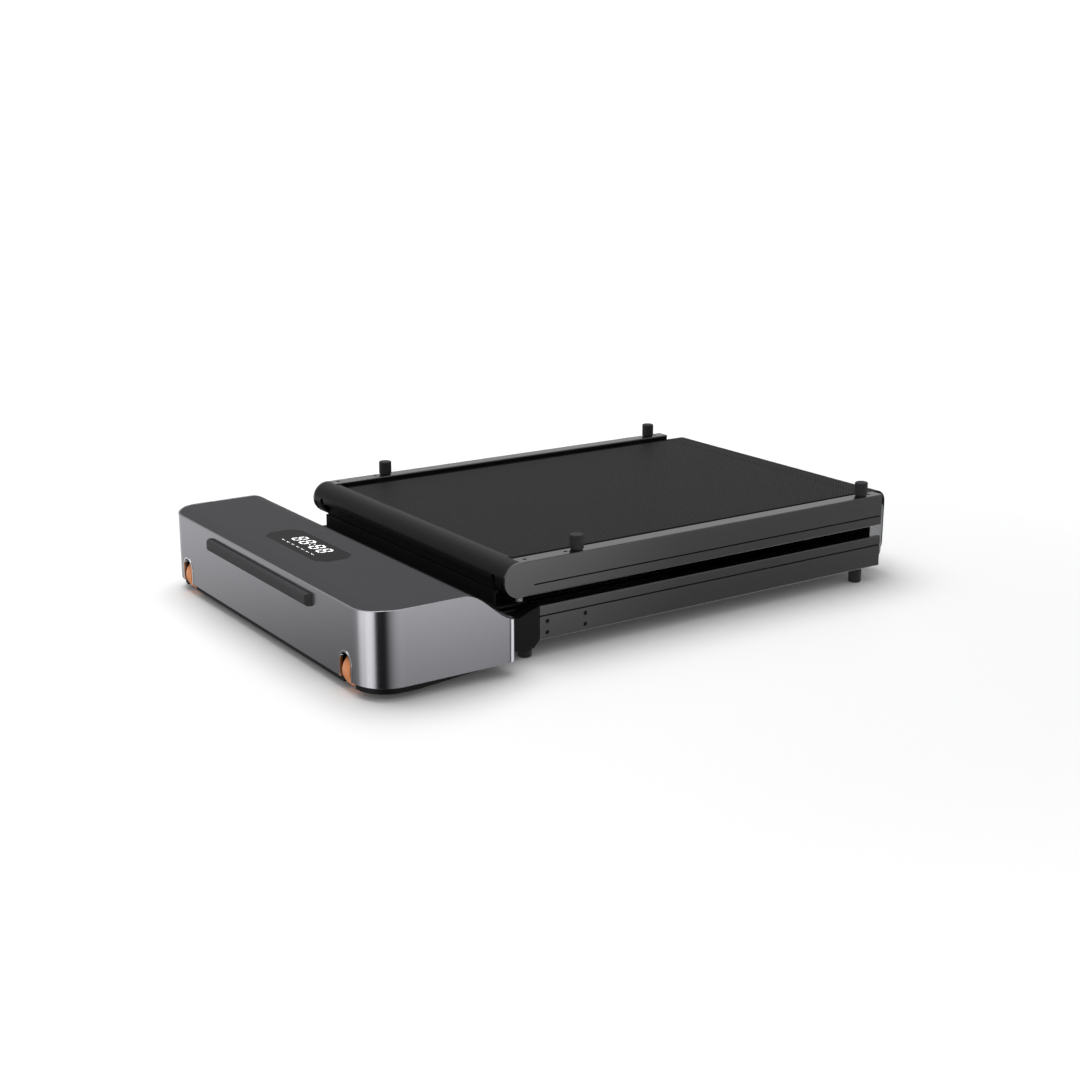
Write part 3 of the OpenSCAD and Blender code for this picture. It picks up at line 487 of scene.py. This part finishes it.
# White lamp film of the display's segments: an even light that reads as switched on.
LAMP = Lit("white lamp film", "window_plastic", "#f6f7f8", "#ffffff", 0.5, power=1.2)


# ---------- making pieces ----------


def body_of(node: str) -> str:
    """Finds the body that a node of the frame belongs to.

    Args:
        node: the node's name.

    Returns:
        The body's name.
    """
    groups = frame["record"]["behaviour"]["bodies"]
    return next(body for body, members in groups.items() if node in members)


def set_down(bm: Shape, name: str, finish: Finish, body: str,
             replaces: Sequence[str] = (), crease: float = 38.0) -> bpy.types.Object:
    """Turns a finished bmesh to a piece that rides on a body.

    Args:
        bm: the shape, in place; it is freed.
        name: the piece's name.
        finish: the finish that it wears.
        body: the name of the body that it rides on.
        replaces: nodes of the frame that it stands for.
        crease: edges that turn more than this many degrees stay crisp.

    Returns:
        The new object.
    """
    for face in bm.faces:
        face.smooth = True
    for edge in bm.edges:
        edge.smooth = len(edge.link_faces) == 2 and edge.calc_face_angle(0.0) < math.radians(crease)
    mesh = bpy.data.meshes.new(name)
    bm.to_mesh(mesh)
    bm.free()
    mesh.materials.append(finish.material())
    piece = bpy.data.objects.new(name, mesh)
    bpy.context.scene.collection.objects.link(piece)
    even = piece.modifiers.new("even shading", "WEIGHTED_NORMAL")
    even.keep_sharp = True
    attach(piece, body)
    if replaces:
        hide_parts(*replaces)
    LOG.info("%s: %d faces on %s", name, len(mesh.polygons), body)
    return piece


def dress(node: str, finish: Finish) -> bpy.types.Object:
    """Gives a node of the frame its finish and leaves its shape alone.

    Args:
        node: the node's name.
        finish: the finish that it wears.

    Returns:
        The node's object.
    """
    piece = frame["nodes"][node]
    for slot in piece.material_slots:
        slot.material = finish.material()
    LOG.info("%s: dressed in %s", node, finish.name)
    return piece


def soften(node: str, finish: Finish, edge: float, segments: int = 2,
           sharp: float = 32.0) -> bpy.types.Object:
    """Builds a copy of a node with its sharp edges rounded, as a moulding, pressing or casting has them.

    Args:
        node: the node of the frame that the piece stands for.
        finish: the finish that it wears.
        edge: the width of the rounding.
        segments: the number of steps across it.
        sharp: edges that turn more than this many degrees are rounded.

    Returns:
        The new object.
    """
    bm = bmesh.new()
    bm.from_mesh(frame["nodes"][node].data)
    bmesh.ops.remove_doubles(bm, verts=bm.verts, dist=WELD)
    bmesh.ops.dissolve_limit(bm, angle_limit=IN_PLANE, verts=bm.verts, edges=bm.edges)
    crisp = [e for e in bm.edges if len(e.link_faces) == 2 and e.calc_face_angle(0.0) > math.radians(sharp)]
    bmesh.ops.bevel(bm, geom=crisp, offset=edge, offset_type="OFFSET", segments=segments, profile=0.5,
                    affect="EDGES", material=-1, clamp_overlap=True)
    return set_down(bm, f"{node}_worked", finish, body_of(node), [node])


def paint(piece: bpy.types.Object, finish: Finish, line: float,
          wanted: Callable[[bmesh.types.BMFace], bool]) -> None:
    """Gives some of a piece's faces a second finish, after a cut along a line on each side.

    Args:
        piece: the piece.
        finish: the second finish.
        line: the distance of the two cuts from the machine's middle, along Y.
        wanted: tells if a face takes the finish.
    """
    mesh = piece.data
    mesh.materials.append(finish.material())
    bm = bmesh.new()
    bm.from_mesh(mesh)
    for side in Side:
        bmesh.ops.bisect_plane(bm, geom=bm.verts[:] + bm.edges[:] + bm.faces[:], dist=WELD,
                               plane_co=(0.0, side.value * line, 0.0), plane_no=(0, 1, 0))
    for face in bm.faces:
        face.material_index = int(wanted(face))
    bm.to_mesh(mesh)
    bm.free()


def block(bm: Shape, low: Vector, high: Vector, edge: float) -> None:
    """Adds a box with rounded edges to a bmesh.

    Args:
        bm: the bmesh that takes it.
        low: its lowest corner.
        high: its highest corner.
        edge: the width of the rounding.
    """
    made = bmesh.ops.create_cube(bm, size=1.0)["verts"]
    bmesh.ops.scale(bm, vec=high - low, verts=made)
    bmesh.ops.translate(bm, vec=(low + high) / 2, verts=made)
    edges = list({e for v in made for e in v.link_edges})
    bmesh.ops.bevel(bm, geom=edges, offset=edge, segments=2, profile=0.5, affect="EDGES", material=-1)


def lathe(bm: Shape, outline: Sequence[tuple[float, float]], place: Matrix,
          steps: int = 28) -> None:
    """Spins an outline of (radius, height) points round Z, then puts the shape in place.

    Args:
        bm: the bmesh that takes it.
        outline: the points, from the axis at the foot to the axis at the top.
        place: where the shape goes.
        steps: the number of steps round.
    """
    verts = [bm.verts.new((radius, 0.0, height)) for radius, height in outline]
    edges = [bm.edges.new(pair) for pair in zip(verts, verts[1:])]
    before = {v for v in bm.verts if v not in verts}
    bmesh.ops.spin(bm, geom=verts + edges, cent=(0, 0, 0), axis=(0, 0, 1), angle=math.tau, steps=steps,
                   use_merge=True)
    made = [v for v in bm.verts if v not in before]
    bmesh.ops.remove_doubles(bm, verts=made, dist=WELD)
    made = [v for v in bm.verts if v not in before]
    bmesh.ops.recalc_face_normals(bm, faces=list({f for v in made for f in v.link_faces}))
    bmesh.ops.transform(bm, matrix=place, verts=made)


# ---------- the head ----------


@dataclass
class Lamps:
    """The display's figures and marks, as thin lamp shapes on the window.

    The sizes that end in bars are counted in widths of a bar.
    """

    figure_top: float = mm(66)
    figure_height: float = mm(19)
    figure_width: float = mm(12.6)
    figure_pitch: float = mm(19.3)
    colon_gap: float = mm(6.5)
    middle: float = mm(7.5)
    bar: float = mm(1.9)
    across_cut_bars: float = 1.3
    upright_cut_bars: float = 0.8
    dot_bars: float = 0.6
    mark_dot_bars: float = 0.3
    mark_bars: float = 0.55
    dot_steps: int = 14
    thickness: float = mm(0.08)
    slant: float = -0.16
    marks_at: float = mm(56.5)
    marks_start: float = mm(-29)
    marks_step: float = mm(12.9)
    marks: int = 7
    mark: float = mm(4.4)
    figures: int = 4

    def stroke(self, bm: Shape, middle: Vector, length: float, wide: float,
               upright: bool) -> None:
        """Adds one lamp stroke, a bar with pointed ends.

        Args:
            bm: the bmesh that takes it.
            middle: its middle.
            length: its length from point to point.
            wide: its width.
            upright: True if it runs along X, the figures' height.
        """
        half = wide / 2
        made = bmesh.ops.create_circle(bm, cap_ends=True, radius=1.0, segments=6)["verts"]
        for vert in made:
            tip = abs(vert.co.y) < 0.1
            vert.co.x = math.copysign(length / 2 - (0.0 if tip else half), vert.co.x)
            vert.co.y = 0.0 if tip else math.copysign(half, vert.co.y)
        raised = bmesh.ops.extrude_face_region(bm, geom=list(made[0].link_faces))["geom"]
        top = [part for part in raised if isinstance(part, bmesh.types.BMVert)]
        bmesh.ops.translate(bm, vec=(0, 0, self.thickness), verts=top)
        made = made + top
        bmesh.ops.recalc_face_normals(bm, faces=list({f for v in made for f in v.link_faces}))
        turn = Matrix.Identity(4) if upright else Matrix.Rotation(math.pi / 2, 4, "Z")
        bmesh.ops.transform(bm, matrix=Matrix.Translation(middle) @ turn, verts=made)

    def figure(self, bm: Shape, y: float, front: float, level: float) -> None:
        """Adds the seven strokes of one figure.

        Args:
            bm: the bmesh that takes them.
            y: the figure's middle.
            front: the place of the head's front face.
            level: the height of the window's top.
        """
        half_w = self.figure_width / 2
        half_h = self.figure_height / 2
        centre = front + self.figure_top + half_h
        for step in (-1, 0, 1):
            self.stroke(bm, Vector((centre + step * (half_h - self.bar / 2), y, level)),
                        self.figure_width - self.bar * self.across_cut_bars, self.bar, upright=False)
        for side in Side:
            for step in (-1, 1):
                middle = Vector((centre + step * (half_h - self.bar / 2) / 2,
                                 y + side.value * (half_w - self.bar / 2), level))
                self.stroke(bm, middle, half_h - self.bar * self.upright_cut_bars, self.bar, upright=True)

    def dot(self, bm: Shape, middle: Vector, radius: float) -> None:
        """Adds a round lamp dot.

        Args:
            bm: the bmesh that takes it.
            middle: its middle.
            radius: its radius.
        """
        lathe(bm, [(0.0, 0.0), (radius, 0.0), (radius, self.thickness), (0.0, self.thickness)],
              Matrix.Translation(middle), steps=self.dot_steps)

    def build(self) -> None:
        """Builds the figures, the two dots between them and the row of marks."""
        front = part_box("front_band")[0].x
        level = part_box("display_window")[1].z
        bm = bmesh.new()
        start = self.middle - 1.5 * self.figure_pitch - self.colon_gap / 2
        for i in range(self.figures):
            extra = self.colon_gap if i >= self.figures // 2 else 0.0
            self.figure(bm, start + i * self.figure_pitch + extra, front, level)
        centre = front + self.figure_top + self.figure_height / 2
        for step in (-1, 1):
            x = centre + step * self.figure_height / 6
            self.dot(bm, Vector((x, self.middle, level)), self.bar * self.dot_bars)
        for vert in bm.verts:
            vert.co.y += self.slant * (vert.co.x - centre)
        for i in range(self.marks):
            y = self.marks_start + i * self.marks_step
            spot = Vector((front + self.marks_at, y, level))
            self.dot(bm, spot - Vector((0, self.mark, 0)), self.bar * self.mark_dot_bars)
            self.stroke(bm, spot, self.mark, self.bar * self.mark_bars, upright=False)
        set_down(bm, "display_lamps", LAMP, Body.BASE.value)


@dataclass
class Head:
    """The head: its shell, its frame and what is inside it."""

    sheet_edge: float = mm(0.45)
    moulded_edge: float = mm(0.8)
    trim_edge: float = mm(0.2)
    screw_r: float = mm(3.2)
    screw_h: float = mm(2.2)
    screw_recess: float = mm(0.9)
    screw_shoulder: float = mm(0.7)
    screw_sink: float = mm(1.2)
    screw_shares: tuple[float, ...] = (-0.78, -0.26, 0.26, 0.78)
    front_row_in: float = mm(50)
    rear_row_in: float = mm(14)
    rear_row_level: float = mm(14.5)

    def shell(self) -> None:
        """Builds the outer shell."""
        soften("front_band", BAND, self.sheet_edge, segments=3)
        soften("wheel_arch_trims", CHROME, self.trim_edge)
        soften("stand_strip", STRIP, self.sheet_edge)
        soften("top_cover", COVER, self.moulded_edge, segments=3)
        soften("display_window", SMOKED, self.trim_edge)
        soften("base_tray", BLACK_ABS, self.moulded_edge)
        soften("belt_guard", BLACK_ABS, self.sheet_edge)
        for side in ("left", "right"):
            soften(f"{side}_side_bracket", BLACK_ABS, self.moulded_edge)

    def frame_pieces(self) -> None:
        """Dresses the sheet steel, the axles, the board, the cables and the drive belt inside the head."""
        for node in ("head_chassis", "wheel_mounts", "motor_mount"):
            dress(node, ZINC)
        for node in ("wheel_axles", "front_roller_axle"):
            dress(node, STEEL)
        dress("display_board", MASK)
        dress("internal_cables", JACKET)
        dress("drive_belt", RIBBED)

    def tray_screws(self) -> None:
        """Adds the pan-head screws that hold the tray from below, in a front row and a rear row."""
        low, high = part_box("base_tray")
        bm = bmesh.new()
        r = self.screw_r
        # The recess, the flat of the head and its rounded shoulder, as shares of the radius.
        outline = [(0.0, self.screw_recess), (r * 0.4, self.screw_recess), (r * 0.45, 0.0), (r * 0.8, 0.0),
                   (r, self.screw_shoulder), (r, self.screw_h), (0.0, self.screw_h)]
        for x, z in ((low.x + self.front_row_in, low.z), (high.x - self.rear_row_in, self.rear_row_level)):
            for share in self.screw_shares:
                place = Matrix.Translation((x, share * high.y, z - self.screw_sink))
                lathe(bm, outline, place, steps=20)
        set_down(bm, "tray_screws", BLACK_STEEL, Body.BASE.value)

    def build(self) -> None:
        """Builds the whole head."""
        self.shell()
        self.frame_pieces()
        self.tray_screws()
        Lamps().build()


@dataclass
class Electrics:
    """The motor, the control board, the inlet and the switch."""

    edge: float = mm(0.35)
    motor_edge: float = mm(0.8)
    board_edge: float = mm(0.2)
    pin: tuple[float, float] = (mm(2.0), mm(4.0))
    pin_edge: float = mm(0.4)
    pin_length: float = mm(10)
    pins_at: tuple[tuple[float, float], ...] = ((mm(-6), mm(-2)), (0.0, mm(3)), (mm(6), mm(-2)))
    socket_depth: float = mm(16)
    board_t: float = mm(1.6)

    def motor(self) -> None:
        """Builds the drive motor and dresses its shaft, the pulleys and the board's heatsink."""
        soften("motor_body", ENAMEL, self.motor_edge)
        dress("motor_shaft", STEEL)
        for node in ("motor_pulley", "front_roller_pulley", "heatsink"):
            dress(node, PULLEY)

    def inlet(self) -> None:
        """Builds the inlet's housing and the three flat pins inside it."""
        soften("power_inlet", BLACK_ABS, self.edge)
        low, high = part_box("power_inlet")
        centre = (low + high) / 2
        bm = bmesh.new()
        root = high.y - self.socket_depth
        half = Vector((self.pin[0] / 2 + SEAM, 0.0, self.pin[1] / 2 + SEAM))
        for x, z in self.pins_at:
            spot = Vector((centre.x + x, root, centre.z + z))
            block(bm, spot - half, spot + half + Vector((0, self.pin_length + SEAM, 0)), self.pin_edge)
        set_down(bm, "inlet_pins", STEEL, Body.BASE.value)

    def switch(self) -> None:
        """Builds the switch's frame and its plain rocker."""
        soften("switch_frame", BLACK_ABS, self.edge)
        soften("switch_rocker", BLACK_ABS, self.edge)

    def board(self) -> None:
        """Builds the control board. What stands on the bare board is black."""
        piece = soften("control_board", MASK, self.board_edge)
        piece.data.materials.append(EPOXY.material())
        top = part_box("control_board")[0].z + self.board_t + SEAM
        for face in piece.data.polygons:
            face.material_index = int(face.center.z > top)

    def build(self) -> None:
        """Builds all electric parts."""
        self.motor()
        self.inlet()
        self.switch()
        self.board()


@dataclass
class Wheels:
    """The two transport wheels in the head's front."""

    hub_edge: float = mm(0.3)
    tyre_edge: float = mm(0.5)

    def build(self) -> None:
        """Builds each wheel's hub and tyre."""
        for side in ("left", "right"):
            soften(f"{side}_wheel_hub", HUB, self.hub_edge)
            soften(f"{side}_wheel_tyre", TYRE, self.tyre_edge)


# ---------- the deck ----------


@dataclass
class Section:
    """One deck section: its rails, deck, belt, feet and screws."""

    name: str
    board_edge: float = mm(1.0)
    foot_edge: float = mm(0.5)
    screw_edge: float = mm(0.15)
    belt_edge: float = mm(0.35)
    rail_edge: float = mm(0.25)
    trim_d: float = mm(0.3)
    groove_d: float = mm(1.1)
    groove_in: float = mm(6)
    # edge_w: the width of the painted shade along each rail's inner edge.
    edge_w: float = mm(4.5)
    # margin: the width of the painted shade strip along each edge of the belt.
    margin: float = mm(6.5)

    def build(self) -> None:
        """Builds the section's pieces."""
        for side in ("left", "right"):
            self.rail(f"{side}_{self.name}_rail")
        self.belt()
        soften(f"{self.name}_deck_board", PLY, self.board_edge)
        soften(f"{self.name}_feet", RUBBER, self.foot_edge, segments=3)
        soften(f"{self.name}_rail_screws", BLACK_STEEL, self.screw_edge)
        dress(f"{self.name}_crossmembers", RAIL)
        dress(f"{self.name}_deck_cushions", RUBBER)
        dress(f"{self.name}_hinge_pins", STEEL)

    def rail(self, node: str) -> None:
        """Builds a rail. Its trim groove and the inner edge of its foot side get painted shade, a near-black matt
        finish for the shadow in the groove and the dark gap beside the belt.

        Args:
            node: the rail's node.
        """
        low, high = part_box(node)
        outer = max(abs(low.y), abs(high.y))
        inner = min(abs(low.y), abs(high.y))

        def takes_painted_shade(face: bmesh.types.BMFace) -> bool:
            """Tells if a face takes the painted shade.

            Args:
                face: a face of the rail.

            Returns:
                True if it is in the groove or on the inner edge.
            """
            middle = face.calc_center_median()
            y = abs(middle.y)
            in_groove = (outer - self.groove_d < y < outer - self.trim_d
                         and low.z + self.groove_in < middle.z < high.z - self.groove_in)
            on_edge = y < inner + self.edge_w and min(middle.z - low.z, high.z - middle.z) < WELD
            return in_groove or on_edge

        # Painted shade: faces in the groove and on the inner edge get the near-black finish.
        paint(soften(node, RAIL, self.rail_edge), RAIL_SHADE, inner + self.edge_w, takes_painted_shade)

    def belt(self) -> None:
        """Builds the section's belt. A near-black strip along its cut edges is painted shade, for the dark gap
        between the belt and the rails.
        """
        node = f"{self.name}_belt"
        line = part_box(node)[1].y - self.margin
        # Painted shade: the belt's faces beyond line get the near-black finish.
        paint(soften(node, BELT, self.belt_edge), BELT_EDGE_SHADE, line,
              lambda face: abs(face.calc_center_median().y) > line)


@dataclass
class FreeEnd:
    """The rounded free end of the rear section, with the rear roller behind it."""

    cap_edge: float = mm(0.4)
    bumper_edge: float = mm(0.5)
    bolt_edge: float = mm(0.3)

    def build(self) -> None:
        """Builds the cap, the bumpers and the bolts, and dresses both rollers."""
        soften("rear_end_cap", CAP, self.cap_edge)
        soften("fold_bumpers", BUMPER, self.bumper_edge)
        soften("tension_bolts", STEEL, self.bolt_edge)
        for end in ("front", "rear"):
            dress(f"{end}_roller_tube", STEEL)
            dress(f"{end}_roller_bearings", STEEL)
        dress("rear_roller_axle", STEEL)


@dataclass
class Fold:
    """The double hinge and the stretch of belt that goes round it.

    The outer run is built in its folded shape only; flat and flat_drop are not used.
    """

    link_edge: float = mm(0.5)
    run_edge: float = mm(0.35)
    belt_t: float = mm(1.6)
    turn_r: float = mm(15.2)
    flat: float = 0.01
    flat_drop: float = mm(1.8)
    gap: float = mm(0.3)
    columns: int = 28
    bend_steps: int = 8
    ripple: float = mm(0.5)
    ripples: int = 3

    def links(self) -> None:
        """Builds the two hinge links."""
        for side in ("left", "right"):
            soften(f"{side}_hinge_link", STEEL, self.link_edge)

    def pivot(self) -> Vector:
        """Finds the middle of the lower hinge pins.

        Returns:
            The point, in metres.
        """
        joint = next(j for j in frame["joints"] if j["name"] == "link_fold")
        return Vector(joint["pos_m"])

    def outer_run(self) -> None:
        """Builds the loose outer run in its folded shape."""
        low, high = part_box("belt_fold_loop")
        pivot = self.pivot()
        half_t = self.belt_t / 2
        wall_x = high.x - half_t
        start = Vector((pivot.x + self.gap, low.y, low.z + half_t))
        bm = bmesh.new()
        verts = [bm.verts.new(start)]
        turn_x = wall_x - self.turn_r
        bottom = low.z + half_t
        top = high.z - half_t

        def straight(to: Vector) -> None:
            """Carries the line straight on.

            Args:
                to: the point that it goes to.
            """
            made = bmesh.ops.extrude_vert_indiv(bm, verts=[verts[-1]])["verts"][0]
            made.co = to
            verts.append(made)

        def bend(centre: Vector) -> None:
            """Carries the line round a quarter turn.

            Args:
                centre: the middle of the turn.
            """
            made = bmesh.ops.spin(bm, geom=[verts[-1]], cent=centre, axis=(0, -1, 0), angle=math.pi / 2,
                                  steps=self.bend_steps)["geom_last"]
            verts.append(next(g for g in made if isinstance(g, bmesh.types.BMVert)))

        straight(Vector((turn_x, low.y, bottom)))
        bend(Vector((turn_x, low.y, bottom + self.turn_r)))
        straight(Vector((wall_x, low.y, top - self.turn_r)))
        bend(Vector((turn_x, low.y, top - self.turn_r)))
        straight(Vector((start.x, low.y, top)))
        line = list(bm.edges)
        width = high.y - low.y
        for _ in range(self.columns):
            made = bmesh.ops.extrude_edge_only(bm, edges=line)["geom"]
            bmesh.ops.translate(bm, vec=(0, width / self.columns, 0),
                                verts=[g for g in made if isinstance(g, bmesh.types.BMVert)])
            line = [g for g in made if isinstance(g, bmesh.types.BMEdge)]
        middle = (bottom + top) / 2
        for vert in bm.verts:
            out = max(0.0, vert.co.x - pivot.x) / (wall_x - pivot.x)
            rise = 1 - abs(vert.co.z - middle) / (top - middle)
            wave = 1 + math.cos(vert.co.y / width * math.tau * self.ripples)
            vert.co.x -= self.ripple * out * rise * wave
        bmesh.ops.recalc_face_normals(bm, faces=bm.faces)
        piece = set_down(bm, "belt_outer_run", BELT, Body.LINK.value, ["belt_fold_loop"])
        wall = piece.modifiers.new("belt thickness", "SOLIDIFY")
        wall.thickness = self.belt_t
        wall.offset = 0.0
        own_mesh(piece)

    def inner_run(self) -> None:
        """Builds the short inner run, which lies level between the two decks when the machine is open."""
        lower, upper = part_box("lower_belt"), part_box("upper_belt")
        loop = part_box("belt_fold_loop")
        bm = bmesh.new()
        block(bm, Vector((loop[0].x, loop[0].y, lower[1].z + self.gap)),
              Vector((loop[0].x + self.belt_t, loop[1].y, upper[0].z - self.gap)), self.run_edge)
        set_down(bm, "belt_inner_run", BELT, Body.LINK.value)

    def build(self) -> None:
        """Builds the fold."""
        self.links()
        self.outer_run()
        self.inner_run()


# ---------- the studio ----------


@dataclass
class Studio:
    """A pale floor, soft light and the camera.

    Levels of light are shares of plain white. Heights in the room are the Z of a direction of length 1.
    """

    camera_at: tuple[float, float, float] = (-1.173945, -1.70834, 0.63703)
    yaw: float = 55.639
    pitch: float = 15.608
    roll: float = 0.13
    lens: float = 54.36
    sensor: float = 36.0
    floor_size: float = 14.0
    floor_level: float = mm(-0.2)
    glow_at: tuple[float, float] = (0.5, 2.4)  # the floor's own light starts and ends at these distances
    glow: tuple[float, float] = (0.03, 0.7)
    peak: float = 8.0
    most: float = 1.9
    backdrop: float = 1.05
    tent: tuple[float, float] = (0.45, 0.55)
    tent_at: tuple[float, float] = (0.3, 0.6)
    fade_at: tuple[float, float] = (-0.335, -0.255)
    fade_low: float = 0.18
    cool: float = 1.015  # the panels' blue against their red and green
    panels: tuple[tuple[float, float], ...] = (  # each an angle round Z, in degrees, and its level
        (-180, 8.0), (-166, 8.0), (-156, 5.0), (-148, 0.05), (-118, 0.05), (-100, 1.0), (-84, 1.5),
        (-57, 1.7), (-51, 0.3), (-36, 0.3), (-28, 7.0), (0, 7.0), (30, 1.2), (98, 0.8), (122, 0.8),
        (150, 1.0), (166, 4.5))
    lamp_at: tuple[float, float, float] = (-0.15, 0.6, 2.3)
    lamp_size: tuple[float, float] = (2.3, 1.9)
    lamp_power: float = 50.0

    def floor(self) -> None:
        """Lays the floor. Glossy surfaces see the room through it, and so does a view from below."""
        mesh = bpy.data.meshes.new("floor")
        bm = bmesh.new()
        bmesh.ops.create_grid(bm, x_segments=1, y_segments=1, size=self.floor_size / 2)
        bmesh.ops.translate(bm, vec=(0, 0, self.floor_level), verts=bm.verts)
        bm.to_mesh(mesh)
        bm.free()
        surface = bpy.data.materials.new("studio floor")
        surface.use_nodes = True
        tree = surface.node_tree
        shader = tree.nodes["Principled BSDF"]
        shader.inputs["Base Color"].default_value = linear("#f4f4f5")
        shader.inputs["Roughness"].default_value = 0.5
        # Painted light: the floor gives off its own light, faint near the machine and stronger further out, so the
        # far floor melts into the white backdrop.
        shader.inputs["Emission Color"].default_value = (1.0, 1.0, 1.0, 1.0)
        place = add_node(tree, "ShaderNodeTexCoord").outputs["Object"]
        far = add_node(tree, "ShaderNodeVectorMath", links={0: place}, operation="LENGTH")
        glow = add_node(tree, "ShaderNodeMapRange",
                        {"From Min": self.glow_at[0], "From Max": self.glow_at[1], "To Min": self.glow[0],
                         "To Max": self.glow[1]},
                        {"Value": far.outputs["Value"]}, interpolation_type="SMOOTHSTEP")
        tree.links.new(glow.outputs[0], shader.inputs["Emission Strength"])
        under = add_node(tree, "ShaderNodeNewGeometry").outputs["Backfacing"]
        clear = add_node(tree, "ShaderNodeBsdfTransparent").outputs[0]
        blend = add_node(tree, "ShaderNodeMixShader", links={0: under, 1: shader.outputs[0], 2: clear})
        tree.links.new(blend.outputs[0], tree.nodes["Material Output"].inputs["Surface"])
        mesh.materials.append(surface)
        floor = bpy.data.objects.new("floor", mesh)
        floor.visible_glossy = False
        bpy.context.scene.collection.objects.link(floor)

    def room(self) -> None:
        """Paints the room by direction.

        Above the floor it is a soft white tent. Below it, where only shiny surfaces look, panels and gaps
        stand round the machine and fade downwards. No panel is let past the level most.
        """
        world = bpy.data.worlds.new("studio room")
        bpy.context.scene.world = world
        world.use_nodes = True
        tree = world.node_tree
        ground = tree.nodes["Background"]
        way = add_node(tree, "ShaderNodeTexCoord").outputs["Generated"]
        axes = add_node(tree, "ShaderNodeSeparateXYZ", links={0: way})
        turn = add_node(tree, "ShaderNodeMath", links={0: axes.outputs["Y"], 1: axes.outputs["X"]},
                        operation="ARCTAN2")
        share = add_node(tree, "ShaderNodeMapRange", {"From Min": -math.pi, "From Max": math.pi},
                         {"Value": turn.outputs[0]})
        ramp = add_node(tree, "ShaderNodeValToRGB", links={0: share.outputs[0]})
        stops = ramp.color_ramp.elements
        for i, (degrees, level) in enumerate(self.panels):
            at = (degrees + 180) / 360
            stop = stops[i] if i < 2 else stops.new(at)
            stop.position = at
            stop.color = (level / self.peak, level / self.peak, level / self.peak * self.cool, 1.0)
        fade = add_node(tree, "ShaderNodeMapRange",
                        {"From Min": self.fade_at[0], "From Max": self.fade_at[1],
                         "To Min": self.fade_low, "To Max": 1.0},
                        {"Value": axes.outputs["Z"]})
        low = add_node(tree, "ShaderNodeMix", {6: (0.0, 0.0, 0.0, 1.0)},
                       {0: fade.outputs[0], 7: ramp.outputs[0]}, data_type="RGBA")
        dim = add_node(tree, "ShaderNodeMix", {0: 1.0, 7: (self.most / self.peak,) * 3 + (1.0,)},
                       {6: low.outputs[2]}, data_type="RGBA", blend_type="DARKEN")
        tent = add_node(tree, "ShaderNodeMapRange",
                        {"From Min": self.tent_at[0], "From Max": self.tent_at[1],
                         "To Min": self.tent[0] / self.peak, "To Max": self.tent[1] / self.peak},
                        {"Value": axes.outputs["Z"]})
        above = add_node(tree, "ShaderNodeMath", {1: 0.0}, {0: axes.outputs["Z"]}, operation="GREATER_THAN")
        walls = add_node(tree, "ShaderNodeMix", data_type="RGBA",
                         links={0: above.outputs[0], 6: dim.outputs[2], 7: tent.outputs[0]})
        white = (self.backdrop / self.peak,) * 3 + (1.0,)
        light = add_node(tree, "ShaderNodeLightPath").outputs["Is Camera Ray"]
        seen = add_node(tree, "ShaderNodeMix", {7: white}, {0: light, 6: walls.outputs[2]}, data_type="RGBA")
        tree.links.new(seen.outputs[2], ground.inputs["Color"])
        ground.inputs["Strength"].default_value = self.peak

    def lamp(self, name: str, place: Sequence[float], size: Sequence[float], power: float) -> None:
        """Hangs a soft panel light that faces the machine.

        Args:
            name: its name.
            place: where it hangs.
            size: its width and height.
            power: its power in watts.
        """
        data = bpy.data.lights.new(name, "AREA")
        data.shape = "RECTANGLE"
        data.size, data.size_y = size
        data.energy = power
        lamp = bpy.data.objects.new(name, data)
        lamp.location = place
        lamp.rotation_euler = (-Vector(place)).to_track_quat("-Z", "Y").to_euler()
        bpy.context.scene.collection.objects.link(lamp)

    def camera(self) -> None:
        """Sets up the camera."""
        data = bpy.data.cameras.new("camera")
        data.lens = self.lens
        data.sensor_width = self.sensor
        camera = bpy.data.objects.new("camera", data)
        yaw, pitch = math.radians(self.yaw), math.radians(self.pitch)
        ahead = Vector((math.cos(pitch) * math.cos(yaw), math.cos(pitch) * math.sin(yaw), -math.sin(pitch)))
        turn = ahead.to_track_quat("-Z", "Y").to_matrix() @ Matrix.Rotation(math.radians(self.roll), 3, "Z")
        camera.matrix_world = Matrix.Translation(self.camera_at) @ turn.to_4x4()
        bpy.context.scene.collection.objects.link(camera)
        bpy.context.scene.camera = camera

    def build(self) -> None:
        """Sets up the whole studio."""
        bpy.context.scene.view_settings.view_transform = "Standard"
        self.floor()
        self.room()
        self.lamp("overhead panel", self.lamp_at, self.lamp_size, self.lamp_power)
        self.camera()


def main() -> None:
    """Builds the studio and every sub-assembly in order."""
    logging.basicConfig(level=logging.INFO, format="%(name)s: %(message)s")
    assemblies = [Studio(), Head(), Electrics(), Wheels(), Section("lower"), Section("upper"), FreeEnd(),
                  Fold()]
    for assembly in assemblies:
        LOG.info("building %s", type(assembly).__name__)
        assembly.build()


if __name__ == "__main__":
    main()
